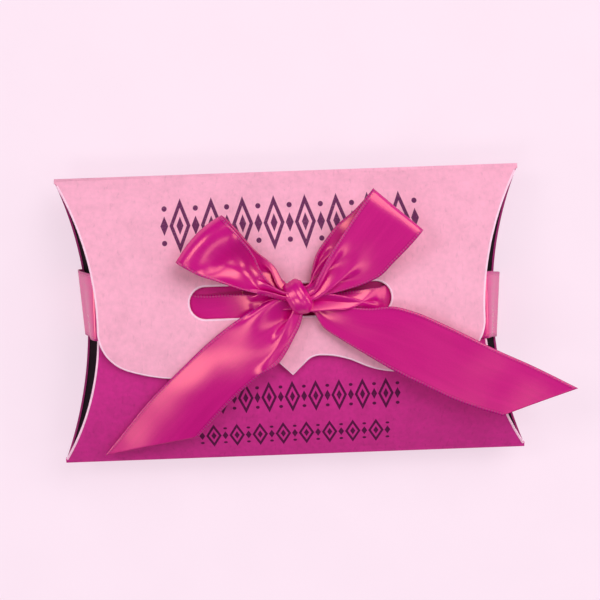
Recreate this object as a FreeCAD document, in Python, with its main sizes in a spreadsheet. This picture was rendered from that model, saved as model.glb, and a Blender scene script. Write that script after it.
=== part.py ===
import FreeCAD
import Part
import Sketcher

import math
import os
import re

# Pillow box of folded card that lies on its back, closed by a flap and tied with a satin ribbon.
# Lengths are in millimetres and angles in degrees.
# X runs along the two creases, Y from the bottom crease to the top one, and Z up through the front.
# The origin is on the surface that the box lies on, under the middle of the box.
# Card pieces and the bow are drawn from the plane of the creases, then lifted to its height.

SIZES = {
    # Card blank
    "box_length": 90.0,
    "box_height": 55.0,
    "card_thickness": 0.5,
    "front_rise": 9.0,
    "back_rise": 6.5,
    "front_end_recess": 8.2,
    "back_end_recess": 4.9,
    "mouth_edge": 14.0,
    "crease_radius": 0.45,
    "crease_clearance": 0.05,
    "hinge_clearance": 0.1,
    "cut_overrun": 5.0,
    # End flaps
    "end_flap_inset": 0.3,
    "end_flap_corner_gap": 1.6,
    "ply_clearance": 0.12,
    "inner_flap_reach_share": 0.55,
    # Closing flap
    "flap_tip": 10.8,
    "flap_tip_run": 2.8,
    "flap_notch_rise": 3.7,
    "flap_notch_reach": 5.2,
    "flap_lobe_reach": 20.5,
    "flap_lobe_radius": 33.0,
    "flap_corner_radius": 8.0,
    "slot_length": 38.8,
    "slot_width": 6.5,
    "slot_centre": 3.5,
    # Ribbon round the box
    "ribbon_width": 12.7,
    "ribbon_thickness": 0.35,
    "ribbon_centre": 1.8,
    "ribbon_clearance": 0.05,
    "ribbon_edge_clearance": 0.25,
    "soft_clearance": 0.4,
    "front_run_end": 9.0,
    "strand_reach": 17.0,
    "strand_width": 5.4,
    "strand_neck": 3.6,
    # Bow
    "knot_shift": 1.4,
    "knot_centre": 4.4,
    "knot_length": 5.4,
    "knot_width": 5.0,
    "knot_height": 4.8,
    "knot_rest": 0.2,
    "knot_round": 1.9,
    "knot_bulge": 0.5,
    "bow_clearance": 0.3,
    "strand_seat": 0.5,
    "tail_seat": 1.5,
    "loop_seat": 2.4,
    "loop_spread": 1.4,
    "loop_drop": 0.2,
    "loop_fold_radius": 2.9,
    "loop_neck": 3.8,
    "loop_width": 12.2,
    "left_loop_length": 21.7,
    "left_loop_angle": 148.0,
    "right_loop_length": 24.9,
    "right_loop_angle": 39.3,
    "tail_neck": 4.4,
    "tail_width": 11.0,
    "tail_spread_length": 14.0,
    "left_tail_angle": 224.3,
    "left_tail_length": 48.8,
    "left_tail_slant": 16.3,
    "left_tail_drop": 9.4,
    "left_tail_bulge": 2.9,
    "right_tail_angle": -25.9,
    "right_tail_length": 56.3,
    "right_tail_slant": 11.7,
    "right_tail_drop": 2.2,
    "right_tail_bulge": 0.9,
}

SIDES = {"left": -1, "right": 1}

# Places that several pieces share, written in the names of the sizes
HALF_LENGTH = "box_length / 2"
HALF_HEIGHT = "box_height / 2"
FLAP_RISE = "(front_rise + card_thickness + ribbon_clearance + ribbon_thickness + soft_clearance)"
CREASE_HEIGHT = "(back_rise + card_thickness / 2 + ribbon_clearance + ribbon_thickness)"
FRONT_RUN_BASE = "(card_thickness / 2 + ribbon_clearance)"
BOW_BASE = f"({FLAP_RISE} + card_thickness / 2)"
END_FLAP_REACH = f"({HALF_HEIGHT} - end_flap_corner_gap)"
RIBBON_LOW = "(ribbon_centre - ribbon_width / 2)"
RIBBON_HIGH = "(ribbon_centre + ribbon_width / 2)"
KNOT_SIDE = "(knot_length / 2 + knot_bulge + bow_clearance)"

NAME = re.compile(r"[a-z][a-z_]*")

document = FreeCAD.newDocument("pillow_box")
sheet = document.addObject("Spreadsheet::Sheet", "sizes")
for row, (alias, size) in enumerate(SIZES.items(), start=1):
    sheet.set(f"A{row}", alias)
    sheet.set(f"B{row}", str(size))
    sheet.setAlias(f"B{row}", alias)
document.recompute()

pieces = []


# Formulas and what they come to


def formula(text):
    """Turn a formula in plain size names into an expression on the sheet."""
    return NAME.sub(lambda word: f"sizes.{word[0]}" if word[0] in SIZES else word[0], text)


def value(text):
    """Number that a formula comes to with the sizes on the sheet."""
    return float(sheet.evalExpression(formula(text)))


def bind(thing, prop, text):
    """Tie a property of a document object to a formula."""
    thing.setExpression(prop, formula(text))


def arc_radius(half_chord, rise):
    """Radius of the arc over a chord from its crown's height, or of one that starts level and climbs."""
    return f"((({half_chord})^2 + ({rise})^2) / (2 * ({rise})))"


def end_edge(recess, across):
    """Distance from the middle to a panel's hollow end edge, at a place across the box."""
    radius = arc_radius(HALF_HEIGHT, recess)
    return f"({HALF_LENGTH} - {recess} + {radius} - sqrt({radius}^2 - ({across})^2))"


def crease_edge(rise, clearance):
    """Distance from the middle at which a bowed panel stops short of the crease rod."""
    square = f"({HALF_HEIGHT})^2"
    lean = f"(({square} - ({rise})^2) / ({square} + ({rise})^2))"
    return f"({HALF_HEIGHT} - (crease_radius + {clearance}) * {lean})"


# Sketches, pads and pockets


def add_sketch(body, role, name):
    """New sketch on one of the body's own origin planes."""
    sketch = body.newObject("Sketcher::SketchObject", name)
    plane = next(item for item in body.Origin.OriginFeatures if item.Role == role)
    sketch.AttachmentSupport = [(plane, "")]
    sketch.MapMode = "FlatFace"
    return sketch


def add_side(sketch, start, end, bend):
    """Draw one side of an outline and give its index and the marks of its two ends."""
    if bend is None:
        return sketch.addGeometry(Part.LineSegment(start, end)), 1, 2
    turn, radius = bend
    size = value(radius)
    chord = end - start
    left = FreeCAD.Vector(-chord.y, chord.x, 0).normalize()
    lift = math.sqrt(max(size ** 2 - (chord.Length / 2) ** 2, 0))
    centre = (start + end) * 0.5 + left * (lift if turn == "ccw" else -lift)
    first, last = (start, end) if turn == "ccw" else (end, start)
    low = math.atan2(first.y - centre.y, first.x - centre.x)
    high = math.atan2(last.y - centre.y, last.x - centre.x)
    circle = Part.Circle(centre, FreeCAD.Vector(0, 0, 1), size)
    index = sketch.addGeometry(Part.ArcOfCircle(circle, low, high if high > low else high + math.tau))
    rule = sketch.addConstraint(Sketcher.Constraint("Radius", index, size))
    bind(sketch, f"Constraints[{rule}]", radius)
    return (index, 1, 2) if turn == "ccw" else (index, 2, 1)


def draw_outline(sketch, corners):
    """Close an outline through corners, each an x, a y and the bend of the side that follows it."""
    spots = [FreeCAD.Vector(value(x), value(y), 0) for x, y, _ in corners]
    ends = spots[1:] + spots[:1]
    sides = [add_side(sketch, start, end, bend) for start, end, (_, _, bend) in zip(spots, ends, corners)]
    for (index, _, last), (follower, first, _) in zip(sides, sides[1:] + sides[:1]):
        sketch.addConstraint(Sketcher.Constraint("Coincident", index, last, follower, first))
    for (index, first, _), spot, (x, y, _) in zip(sides, spots, corners):
        for rule, size, text in (("DistanceX", spot.x, x), ("DistanceY", spot.y, y)):
            tie = sketch.addConstraint(Sketcher.Constraint(rule, -1, 1, index, first, size))
            bind(sketch, f"Constraints[{tie}]", text)


def add_pad(body, role, corners, length, both_ways=True):
    """Pad an outline, to both sides of its plane or to one."""
    sketch = add_sketch(body, role, f"{body.Name}_profile")
    draw_outline(sketch, corners)
    pad = body.newObject("PartDesign::Pad", f"{body.Name}_pad")
    pad.Profile = sketch
    pad.SideType = "Symmetric" if both_ways else "One side"
    bind(pad, "Length", length)
    document.recompute()
    return pad


def add_pocket(body, role, name, outlines):
    """Cut the outlines right through the body, and make sure that something was cut."""
    before = body.Shape.Volume
    sketch = add_sketch(body, role, f"{body.Name}_{name}_outline")
    for corners in outlines:
        draw_outline(sketch, corners)
    pocket = body.newObject("PartDesign::Pocket", f"{body.Name}_{name}")
    pocket.Profile = sketch
    pocket.SideType = "Symmetric"
    pocket.Type = "ThroughAll"
    document.recompute()
    if not body.Shape.Volume < before:
        raise ValueError(f"{pocket.Name} cut nothing")


def trim(body, role, corners, frame):
    """Cut away all of the body that lies outside an outline; the frame is larger than the body."""
    left, low, right, high = frame
    rim = [(left, low, None), (right, low, None), (right, high, None), (left, high, None)]
    add_pocket(body, role, "trim", [rim, corners])


def new_body(label, lift=CREASE_HEIGHT):
    """New body whose label names the piece, lifted to the height of the creases."""
    body = document.addObject("PartDesign::Body", label)
    body.Label = label
    bind(body, "Placement.Base.z", lift)
    pieces.append(body)
    return body


# Card panels


def bowed_strip(rise, inner, outer, low, high, side):
    """Section of a bowed sheet, between two distances from its middle surface."""
    radius = arc_radius(HALF_HEIGHT, rise)

    def corner(across, offset):
        reach = f"({radius} + {offset})"
        height = f"({reach} * sqrt(1 - (({across}) / {radius})^2) - {radius} + {rise})"
        return f"({across}) * {reach} / {radius}", f"{side} * {height}"

    over, under = ("cw", "ccw") if side > 0 else ("ccw", "cw")
    return [
        (*corner(low, outer), (over, f"{radius} + {outer}")),
        (*corner(high, outer), None),
        (*corner(high, inner), (under, f"{radius} + {inner}")),
        (*corner(low, inner), None),
    ]


def bowed_card(label, rise, low, high, side):
    """Bowed card panel, not yet trimmed at its ends."""
    body = new_body(label)
    half = "card_thickness / 2"
    section = bowed_strip(rise, f"-{half}", half, low, high, side)
    add_pad(body, "YZ_Plane", section, "box_length + cut_overrun")
    return body


def plan_frame():
    """Rectangle that is larger than any panel seen from the front."""
    across = f"({HALF_LENGTH} + cut_overrun)"
    along = f"({HALF_HEIGHT} + 2 * cut_overrun)"
    return f"-{across}", f"-{along}", across, along


def hollow_ended_plan(recess):
    """Plan of a panel between the creases, with its two ends hollowed."""
    end = ("cw", arc_radius(HALF_HEIGHT, recess))
    over = f"({HALF_HEIGHT} + cut_overrun)"
    return [
        (HALF_LENGTH, f"-{over}", None),
        (HALF_LENGTH, f"-{HALF_HEIGHT}", end),
        (HALF_LENGTH, HALF_HEIGHT, None),
        (HALF_LENGTH, over, None),
        (f"-{HALF_LENGTH}", over, None),
        (f"-{HALF_LENGTH}", HALF_HEIGHT, end),
        (f"-{HALF_LENGTH}", f"-{HALF_HEIGHT}", None),
        (f"-{HALF_LENGTH}", f"-{over}", None),
    ]


def build_back_panel():
    edge = crease_edge("back_rise", "crease_clearance")
    body = bowed_card("back_panel", "back_rise", f"-{edge}", edge, -1)
    trim(body, "XY_Plane", hollow_ended_plan("back_end_recess"), plan_frame())


def build_front_panel():
    edge = crease_edge("front_rise", "crease_clearance")
    body = bowed_card("front_panel", "front_rise", f"-{edge}", "mouth_edge", 1)
    trim(body, "XY_Plane", hollow_ended_plan("front_end_recess"), plan_frame())


def build_creases():
    """Round folds at the bottom and top of the box; the top one is the closing flap's hinge."""
    for label, side in (("bottom_crease", "-"), ("top_crease", "")):
        rod = document.addObject("Part::Cylinder", label)
        rod.Label = label
        rod.Placement = FreeCAD.Placement(FreeCAD.Vector(), FreeCAD.Rotation(FreeCAD.Vector(0, 1, 0), 90))
        bind(rod, "Radius", "crease_radius")
        bind(rod, "Height", "box_length")
        bind(rod, "Placement.Base.x", f"-{HALF_LENGTH}")
        bind(rod, "Placement.Base.y", f"{side}{HALF_HEIGHT}")
        bind(rod, "Placement.Base.z", CREASE_HEIGHT)
        pieces.append(rod)


def build_end_flaps():
    """Two curved walls at each end: one folded in from the back, one behind it from the front."""
    lean = "((front_end_recess - back_end_recess) / (front_rise + back_rise))"
    recess = f"(back_end_recess + {lean} * back_rise)"
    radius = arc_radius(HALF_HEIGHT, recess)
    outer_face = f"({end_edge(recess, END_FLAP_REACH)} - end_flap_inset)"
    inner_face = f"({outer_face} - card_thickness - ply_clearance)"
    plies = {
        "outer": (outer_face, "back_rise"),
        "inner": (inner_face, "(back_rise * inner_flap_reach_share)"),
    }
    for name, sign in SIDES.items():
        into, away = ("cw", "ccw") if sign > 0 else ("ccw", "cw")
        for ply, (face, reach) in plies.items():
            body = new_body(f"{name}_{ply}_end_flap")
            near = f"{sign} * {face}"
            far = f"{sign} * ({face} - card_thickness)"
            wall = [
                (near, f"-{END_FLAP_REACH}", (into, radius)),
                (near, END_FLAP_REACH, None),
                (far, END_FLAP_REACH, (away, radius)),
                (far, f"-{END_FLAP_REACH}", None),
            ]
            pad = add_pad(body, "XY_Plane", wall, "2 * (front_rise + back_rise)")
            pad.UseCustomVector = True
            pad.Direction = FreeCAD.Vector(0, 0, 1)
            bind(pad, "Direction.x", f"{-sign} * {lean}")
            document.recompute()
            trim(body, "YZ_Plane", end_wall_section(reach), end_wall_frame())


def end_wall_section(reach):
    """Section of the hollow between front and back, as far down as a wall reaches."""
    gap = "(card_thickness / 2 + ply_clearance)"
    front = arc_radius(HALF_HEIGHT, "front_rise")
    back = arc_radius(HALF_HEIGHT, reach)
    top = f"(sqrt(({front} - {gap})^2 - {END_FLAP_REACH}^2) - {front} + front_rise)"
    foot = f"-(sqrt(({back} - {gap})^2 - {END_FLAP_REACH}^2) - {back} + {reach})"
    return [
        (f"-{END_FLAP_REACH}", foot, ("ccw", f"{back} - {gap}")),
        (END_FLAP_REACH, foot, None),
        (END_FLAP_REACH, top, ("ccw", f"{front} - {gap}")),
        (f"-{END_FLAP_REACH}", top, None),
    ]


def end_wall_frame():
    """Rectangle that is larger than an end wall seen from the end."""
    height = "(2 * (front_rise + back_rise))"
    return f"-{HALF_HEIGHT}", f"-{height}", HALF_HEIGHT, height


def flap_plan():
    """Plan of the closing flap: hollow ends, round corners, two lobes and a pointed tip."""
    end_x = f"({HALF_LENGTH} - front_end_recess)"
    share = f"(({end_x} - flap_corner_radius - flap_lobe_reach) / (flap_lobe_radius - flap_corner_radius))"
    fall = f"sqrt(1 - {share}^2)"
    end_y = f"(-flap_tip + flap_lobe_radius - (flap_lobe_radius - flap_corner_radius) * {fall})"
    blend_x = f"({end_x} - flap_corner_radius * (1 - {share}))"
    blend_y = f"({end_y} - flap_corner_radius * {fall})"
    notch_y = "(flap_notch_rise - flap_tip)"
    swell_x = "((flap_notch_reach + flap_lobe_reach) / 2)"
    swell_y = "(flap_notch_rise / 2 - flap_tip)"
    swell = arc_radius("(flap_lobe_reach - flap_notch_reach) / 2", "flap_notch_rise / 2")
    arch = arc_radius("flap_notch_reach - flap_tip_run", "flap_notch_rise - flap_tip_run")
    end = arc_radius(HALF_HEIGHT, "front_end_recess")
    right = [
        (HALF_LENGTH, HALF_HEIGHT, ("ccw", end)),
        (end_x, end_y, ("cw", "flap_corner_radius")),
        (blend_x, blend_y, ("cw", "flap_lobe_radius")),
        ("flap_lobe_reach", "-flap_tip", ("cw", swell)),
        (swell_x, swell_y, ("ccw", swell)),
        ("flap_notch_reach", notch_y, ("ccw", arch)),
        ("flap_tip_run", "(flap_tip_run - flap_tip)", None),
    ]
    left = [(f"-{x}", y, right[index - 1][2]) for index, (x, y, _) in enumerate(right) if index > 0]
    over = f"({HALF_HEIGHT} + cut_overrun)"
    return [
        (HALF_LENGTH, over, None),
        *right,
        ("0", "-flap_tip", None),
        *left[::-1],
        (f"-{HALF_LENGTH}", HALF_HEIGHT, None),
        (f"-{HALF_LENGTH}", over, None),
    ]


def slot_plan():
    """Plan of the long slot with round ends that the ribbon comes up through."""
    half = "slot_width / 2"
    straight = f"(slot_length / 2 - {half})"
    high = f"(slot_centre + {half})"
    low = f"(slot_centre - {half})"
    end = ("ccw", half)
    return [
        (f"-{straight}", low, None),
        (straight, low, end),
        ("slot_length / 2", "slot_centre", end),
        (straight, high, None),
        (f"-{straight}", high, end),
        ("-slot_length / 2", "slot_centre", end),
    ]


def build_closing_flap():
    edge = crease_edge(FLAP_RISE, "hinge_clearance")
    body = bowed_card("closing_flap", FLAP_RISE, "-(flap_tip + cut_overrun)", edge, 1)
    trim(body, "XY_Plane", flap_plan(), plan_frame())
    add_pocket(body, "XY_Plane", "slot", [slot_plan()])


# Ribbon round the box


def add_box(label, length, width, height, base):
    """Flat strip of ribbon as a block, placed by its lowest corner."""
    block = document.addObject("Part::Box", label)
    block.Label = label
    for prop, text in (("Length", length), ("Width", width), ("Height", height)):
        bind(block, prop, text)
    for axis, text in zip("xyz", base):
        bind(block, f"Placement.Base.{axis}", text)
    pieces.append(block)
    return block


def build_ribbon_band():
    """Run under the back, one over each hollow end and two on the front below the flap."""
    back_edge = f"({end_edge('back_end_recess', RIBBON_HIGH)} + ribbon_edge_clearance)"
    front_edge = f"({end_edge('front_end_recess', RIBBON_HIGH)} + ribbon_edge_clearance)"
    half = f"({back_edge} + ribbon_thickness)"
    base = (f"-{half}", RIBBON_LOW, "0")
    add_box("ribbon_back_run", f"2 * {half}", "ribbon_width", "ribbon_thickness", base)
    build_end_runs(back_edge, front_edge)
    outer = f"({FRONT_RUN_BASE} + ribbon_thickness)"
    for name, sign in SIDES.items():
        body = new_body(f"ribbon_front_{name}_run")
        strip = bowed_strip("front_rise", FRONT_RUN_BASE, outer, RIBBON_LOW, RIBBON_HIGH, 1)
        add_pad(body, "YZ_Plane", strip, f"{front_edge} - front_run_end", both_ways=False)
        bind(body, "Placement.Base.x", "front_run_end" if sign > 0 else f"-{front_edge}")


def build_end_runs(back_edge, front_edge):
    """Taut runs from the back's end edge up to the front's, leaning in as the ends do."""
    radius = arc_radius(HALF_HEIGHT, "front_rise")
    front_top = f"(sqrt(({radius} + card_thickness / 2)^2 - {RIBBON_HIGH}^2) - {radius} + front_rise)"
    foot = "(ribbon_thickness + ribbon_clearance)"
    climb = f"({CREASE_HEIGHT} + {front_top} - {foot})"
    inward = f"({back_edge} - {front_edge})"
    slope = f"sqrt({climb}^2 + {inward}^2)"
    dip = f"ribbon_thickness * {inward} / {slope}"
    bases = {
        "left": (f"-({back_edge} + ribbon_thickness)", RIBBON_LOW, f"{foot} + {dip}"),
        "right": (back_edge, RIBBON_LOW, foot),
    }
    for name, base in bases.items():
        block = add_box(f"ribbon_{name}_end_run", "ribbon_thickness", "ribbon_width", slope, base)
        turn = FreeCAD.Rotation(FreeCAD.Vector(0, -SIDES[name], 0), 1)
        block.Placement = FreeCAD.Placement(block.Placement.Base, turn)
        bind(block, "Placement.Rotation.Angle", f"atan({inward} / {climb})")


# Bow


def place_round_knot(body, angle):
    """Stand a bow piece at the knot and turn it about the upright to the way that it points."""
    body.Placement = FreeCAD.Placement(FreeCAD.Vector(), FreeCAD.Rotation(FreeCAD.Vector(0, 0, 1), 1))
    bind(body, "Placement.Base.x", "knot_shift")
    bind(body, "Placement.Base.y", "knot_centre")
    bind(body, "Placement.Base.z", CREASE_HEIGHT)
    bind(body, "Placement.Rotation.Angle", angle)


def trim_ribbon(body, corners, length):
    """Cut a ribbon piece to its plan, along its own length from the knot."""
    trim(body, "XY_Plane", corners, ("0", "-ribbon_width", f"({length} + cut_overrun)", "ribbon_width"))


def build_knot():
    """Tight knot: a block with bulging sides and well rounded edges."""
    body = new_body("bow_knot")
    half_x = "knot_length / 2"
    half_y = "knot_width / 2"
    long_side = ("ccw", arc_radius(half_x, "knot_bulge"))
    short_side = ("ccw", arc_radius(half_y, "knot_bulge"))
    plan = [
        (f"-{half_x}", f"-{half_y}", long_side),
        (half_x, f"-{half_y}", short_side),
        (half_x, half_y, long_side),
        (f"-{half_x}", half_y, short_side),
    ]
    pad = add_pad(body, "XY_Plane", plan, "knot_height", both_ways=False)
    fillet = body.newObject("PartDesign::Fillet", "knot_rounding")
    fillet.Base = (pad, [f"Edge{index + 1}" for index in range(len(pad.Shape.Edges))])
    bind(fillet, "Radius", "knot_round")
    bind(body, "Placement.Base.x", "knot_shift")
    bind(body, "Placement.Base.y", "knot_centre")
    bind(body, "Placement.Base.z", f"{CREASE_HEIGHT} + {BOW_BASE} + knot_rest")


def build_loops():
    """Two loops that flare from the knot to a round fold; each is one bent strip."""
    for name in SIDES:
        length = f"{name}_loop_length"
        body = new_body(f"bow_{name}_loop")
        add_pad(body, "XZ_Plane", loop_side(length), "ribbon_width")
        plan = [
            (KNOT_SIDE, "-loop_neck / 2", None),
            (length, "-loop_width / 2", None),
            (length, "loop_width / 2", None),
            (KNOT_SIDE, "loop_neck / 2", None),
        ]
        trim_ribbon(body, plan, length)
        place_round_knot(body, f"{name}_loop_angle")


def loop_side(length):
    """Side of a loop: lower strand out from the knot, round fold, upper strand back."""
    fold = f"({length} - loop_fold_radius)"
    low = f"({BOW_BASE} - loop_drop)"
    high = f"({low} + 2 * loop_fold_radius)"
    middle = f"({low} + loop_fold_radius)"
    lower = f"({BOW_BASE} + loop_seat)"
    upper = f"({lower} + ribbon_thickness + loop_spread)"
    run = f"({fold} - {KNOT_SIDE})"
    dip = arc_radius(run, "loop_seat + loop_drop")
    crown = arc_radius(run, f"{high} - {upper} - ribbon_thickness")
    inner_fold = "loop_fold_radius - ribbon_thickness"
    return [
        (KNOT_SIDE, lower, ("ccw", dip)),
        (fold, low, ("ccw", "loop_fold_radius")),
        (length, middle, ("ccw", "loop_fold_radius")),
        (fold, high, ("ccw", crown)),
        (KNOT_SIDE, f"{upper} + ribbon_thickness", None),
        (KNOT_SIDE, upper, ("cw", crown)),
        (fold, f"{high} - ribbon_thickness", ("cw", inner_fold)),
        (f"{length} - ribbon_thickness", middle, ("cw", inner_fold)),
        (fold, f"{low} + ribbon_thickness", ("cw", dip)),
        (KNOT_SIDE, f"{lower} + ribbon_thickness", None),
    ]


def build_tails():
    """Two tails that widen from the knot, arch down over the flap and end in a slanted cut."""
    for name, sign in SIDES.items():
        length = f"{name}_tail_length"
        short = f"({length} - {name}_tail_slant)"
        body = new_body(f"bow_{name}_tail")
        add_pad(body, "XZ_Plane", tail_side(name, length), "ribbon_width")
        low_end, high_end = (short, length) if sign > 0 else (length, short)
        plan = [
            (KNOT_SIDE, "-tail_neck / 2", None),
            ("tail_spread_length", "-tail_width / 2", None),
            (low_end, "-tail_width / 2", None),
            (high_end, "tail_width / 2", None),
            ("tail_spread_length", "tail_width / 2", None),
            (KNOT_SIDE, "tail_neck / 2", None),
        ]
        trim_ribbon(body, plan, length)
        place_round_knot(body, f"{name}_tail_angle")


def tail_side(name, length):
    """Side of a tail: an arched strip from the knot down to its end."""
    start = f"({BOW_BASE} + tail_seat)"
    end = f"({start} - {name}_tail_drop)"
    run = f"({length} - {KNOT_SIDE})"
    half_chord = f"sqrt({run}^2 + {name}_tail_drop^2) / 2"
    arch = arc_radius(half_chord, f"{name}_tail_bulge")
    return [
        (KNOT_SIDE, start, ("cw", arch)),
        (length, end, None),
        (length, f"{end} + ribbon_thickness", ("ccw", arch)),
        (KNOT_SIDE, f"{start} + ribbon_thickness", None),
    ]


def build_slot_strands():
    """Gathered strands that rise through the slot, from just over the front runs to the knot."""
    start = f"(front_rise + {FRONT_RUN_BASE} + ribbon_thickness + soft_clearance)"
    end = f"({BOW_BASE} + strand_seat)"
    for name, sign in SIDES.items():
        near = f"({KNOT_SIDE} + {sign} * knot_shift)"
        side = [
            ("strand_reach", start, None),
            (near, end, None),
            (near, f"{end} + ribbon_thickness", None),
            ("strand_reach", f"{start} + ribbon_thickness", None),
        ]
        plan = [
            (near, "-strand_neck / 2", None),
            ("strand_reach", "-strand_width / 2", None),
            ("strand_reach", "strand_width / 2", None),
            (near, "strand_neck / 2", None),
        ]
        body = new_body(f"{name}_slot_strand")
        add_pad(body, "XZ_Plane", side, "ribbon_width")
        trim_ribbon(body, plan, "strand_reach")
        turn = FreeCAD.Rotation(FreeCAD.Vector(0, 0, 1), 0 if sign > 0 else 180)
        body.Placement = FreeCAD.Placement(FreeCAD.Vector(), turn)
        bind(body, "Placement.Base.y", "slot_centre")
        bind(body, "Placement.Base.z", CREASE_HEIGHT)


def check_document():
    """Stop if an object failed to rebuild or a piece is not one valid solid."""
    for item in document.Objects:
        if "Invalid" in item.State or "Error" in item.State:
            raise ValueError(f"{item.Name} did not rebuild: {item.State}")
    for piece in pieces:
        shape = piece.Shape
        if shape.isNull() or not shape.isValid() or len(shape.Solids) != 1:
            raise ValueError(f"{piece.Label} is not one valid solid")


def write_pieces():
    """Write each piece to the file that its label names."""
    os.makedirs("parts", exist_ok=True)
    for piece in pieces:
        piece.Shape.exportStep(f"parts/{piece.Label}.step")
        print(f"{piece.Label}: {piece.Shape.Volume:.1f} mm3")


build_back_panel()
build_front_panel()
build_creases()
build_end_flaps()
build_closing_flap()
build_ribbon_band()
build_knot()
build_loops()
build_tails()
build_slot_strands()
document.recompute()
check_document()
write_pieces()
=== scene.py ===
"""Looks of a curved pillow box of folded card, closed by a flap and tied with a satin ribbon bow."""

import logging
import math
from bisect import bisect_left
from collections.abc import Sequence
from dataclasses import dataclass, field
from enum import Enum
from itertools import accumulate

import bmesh
import bpy
from mathutils import Matrix, Vector, noise
from mathutils.geometry import interpolate_bezier


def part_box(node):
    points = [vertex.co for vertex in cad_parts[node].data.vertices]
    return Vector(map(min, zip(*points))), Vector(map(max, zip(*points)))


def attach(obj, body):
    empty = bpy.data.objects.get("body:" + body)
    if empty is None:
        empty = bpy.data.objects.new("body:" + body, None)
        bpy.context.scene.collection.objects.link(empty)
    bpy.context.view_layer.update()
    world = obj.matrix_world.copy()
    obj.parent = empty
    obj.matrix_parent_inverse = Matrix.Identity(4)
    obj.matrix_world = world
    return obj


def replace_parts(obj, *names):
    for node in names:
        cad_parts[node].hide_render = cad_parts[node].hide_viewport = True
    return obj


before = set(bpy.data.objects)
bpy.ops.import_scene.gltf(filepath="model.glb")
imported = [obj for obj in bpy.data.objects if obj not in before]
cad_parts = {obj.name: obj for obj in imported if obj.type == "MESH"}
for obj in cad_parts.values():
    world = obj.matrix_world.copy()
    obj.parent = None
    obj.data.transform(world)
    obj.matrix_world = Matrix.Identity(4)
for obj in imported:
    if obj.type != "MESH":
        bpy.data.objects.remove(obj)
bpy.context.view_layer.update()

LOG = logging.getLogger("pillow_box")
MM = 0.001
RIBBON_MAP = "ribbon"
MAP_SPAN = 200.0
RIBBON_WIDTH = 12.7

Point = tuple[float, float, float]
Colour = tuple[float, float, float]
Feed = bpy.types.NodeSocket | float | tuple[float, ...]


class Body(str, Enum):
    """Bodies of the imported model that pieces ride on."""

    BOX = "box"
    FLAP = "flap"


class Slot(str, Enum):
    """Names of material slots that new pieces are passed with; nothing here reads them."""

    FLAP_CARD = "flap_card"
    FRONT_CARD = "front_card"
    RIBBON = "satin_ribbon"


class Held(str, Enum):
    """How a stretch of ribbon is held in its shape."""

    STRETCHED = "stretched"
    GATHERED = "gathered"
    FOLDED = "folded"
    DRAPED = "draped"


class Bend(Enum):
    """Way round that an arc of a card outline runs."""

    ANTICLOCKWISE = 1
    CLOCKWISE = -1


def eased(value: float, low: float, high: float) -> float:
    """Share from 0 at low to 1 at high, with soft ends.

    Args:
        value: Where to read the share.
        low: Value that gives 0.
        high: Value that gives 1.

    Returns:
        The share.
    """
    share = min(max((value - low) / (high - low), 0.0), 1.0)
    return share * share * (3.0 - 2.0 * share)


def arc_radius(half_chord: float, rise: float) -> float:
    """Radius of an arc from half its chord and its rise."""
    return (half_chord ** 2 + rise ** 2) / (2.0 * rise)


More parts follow.
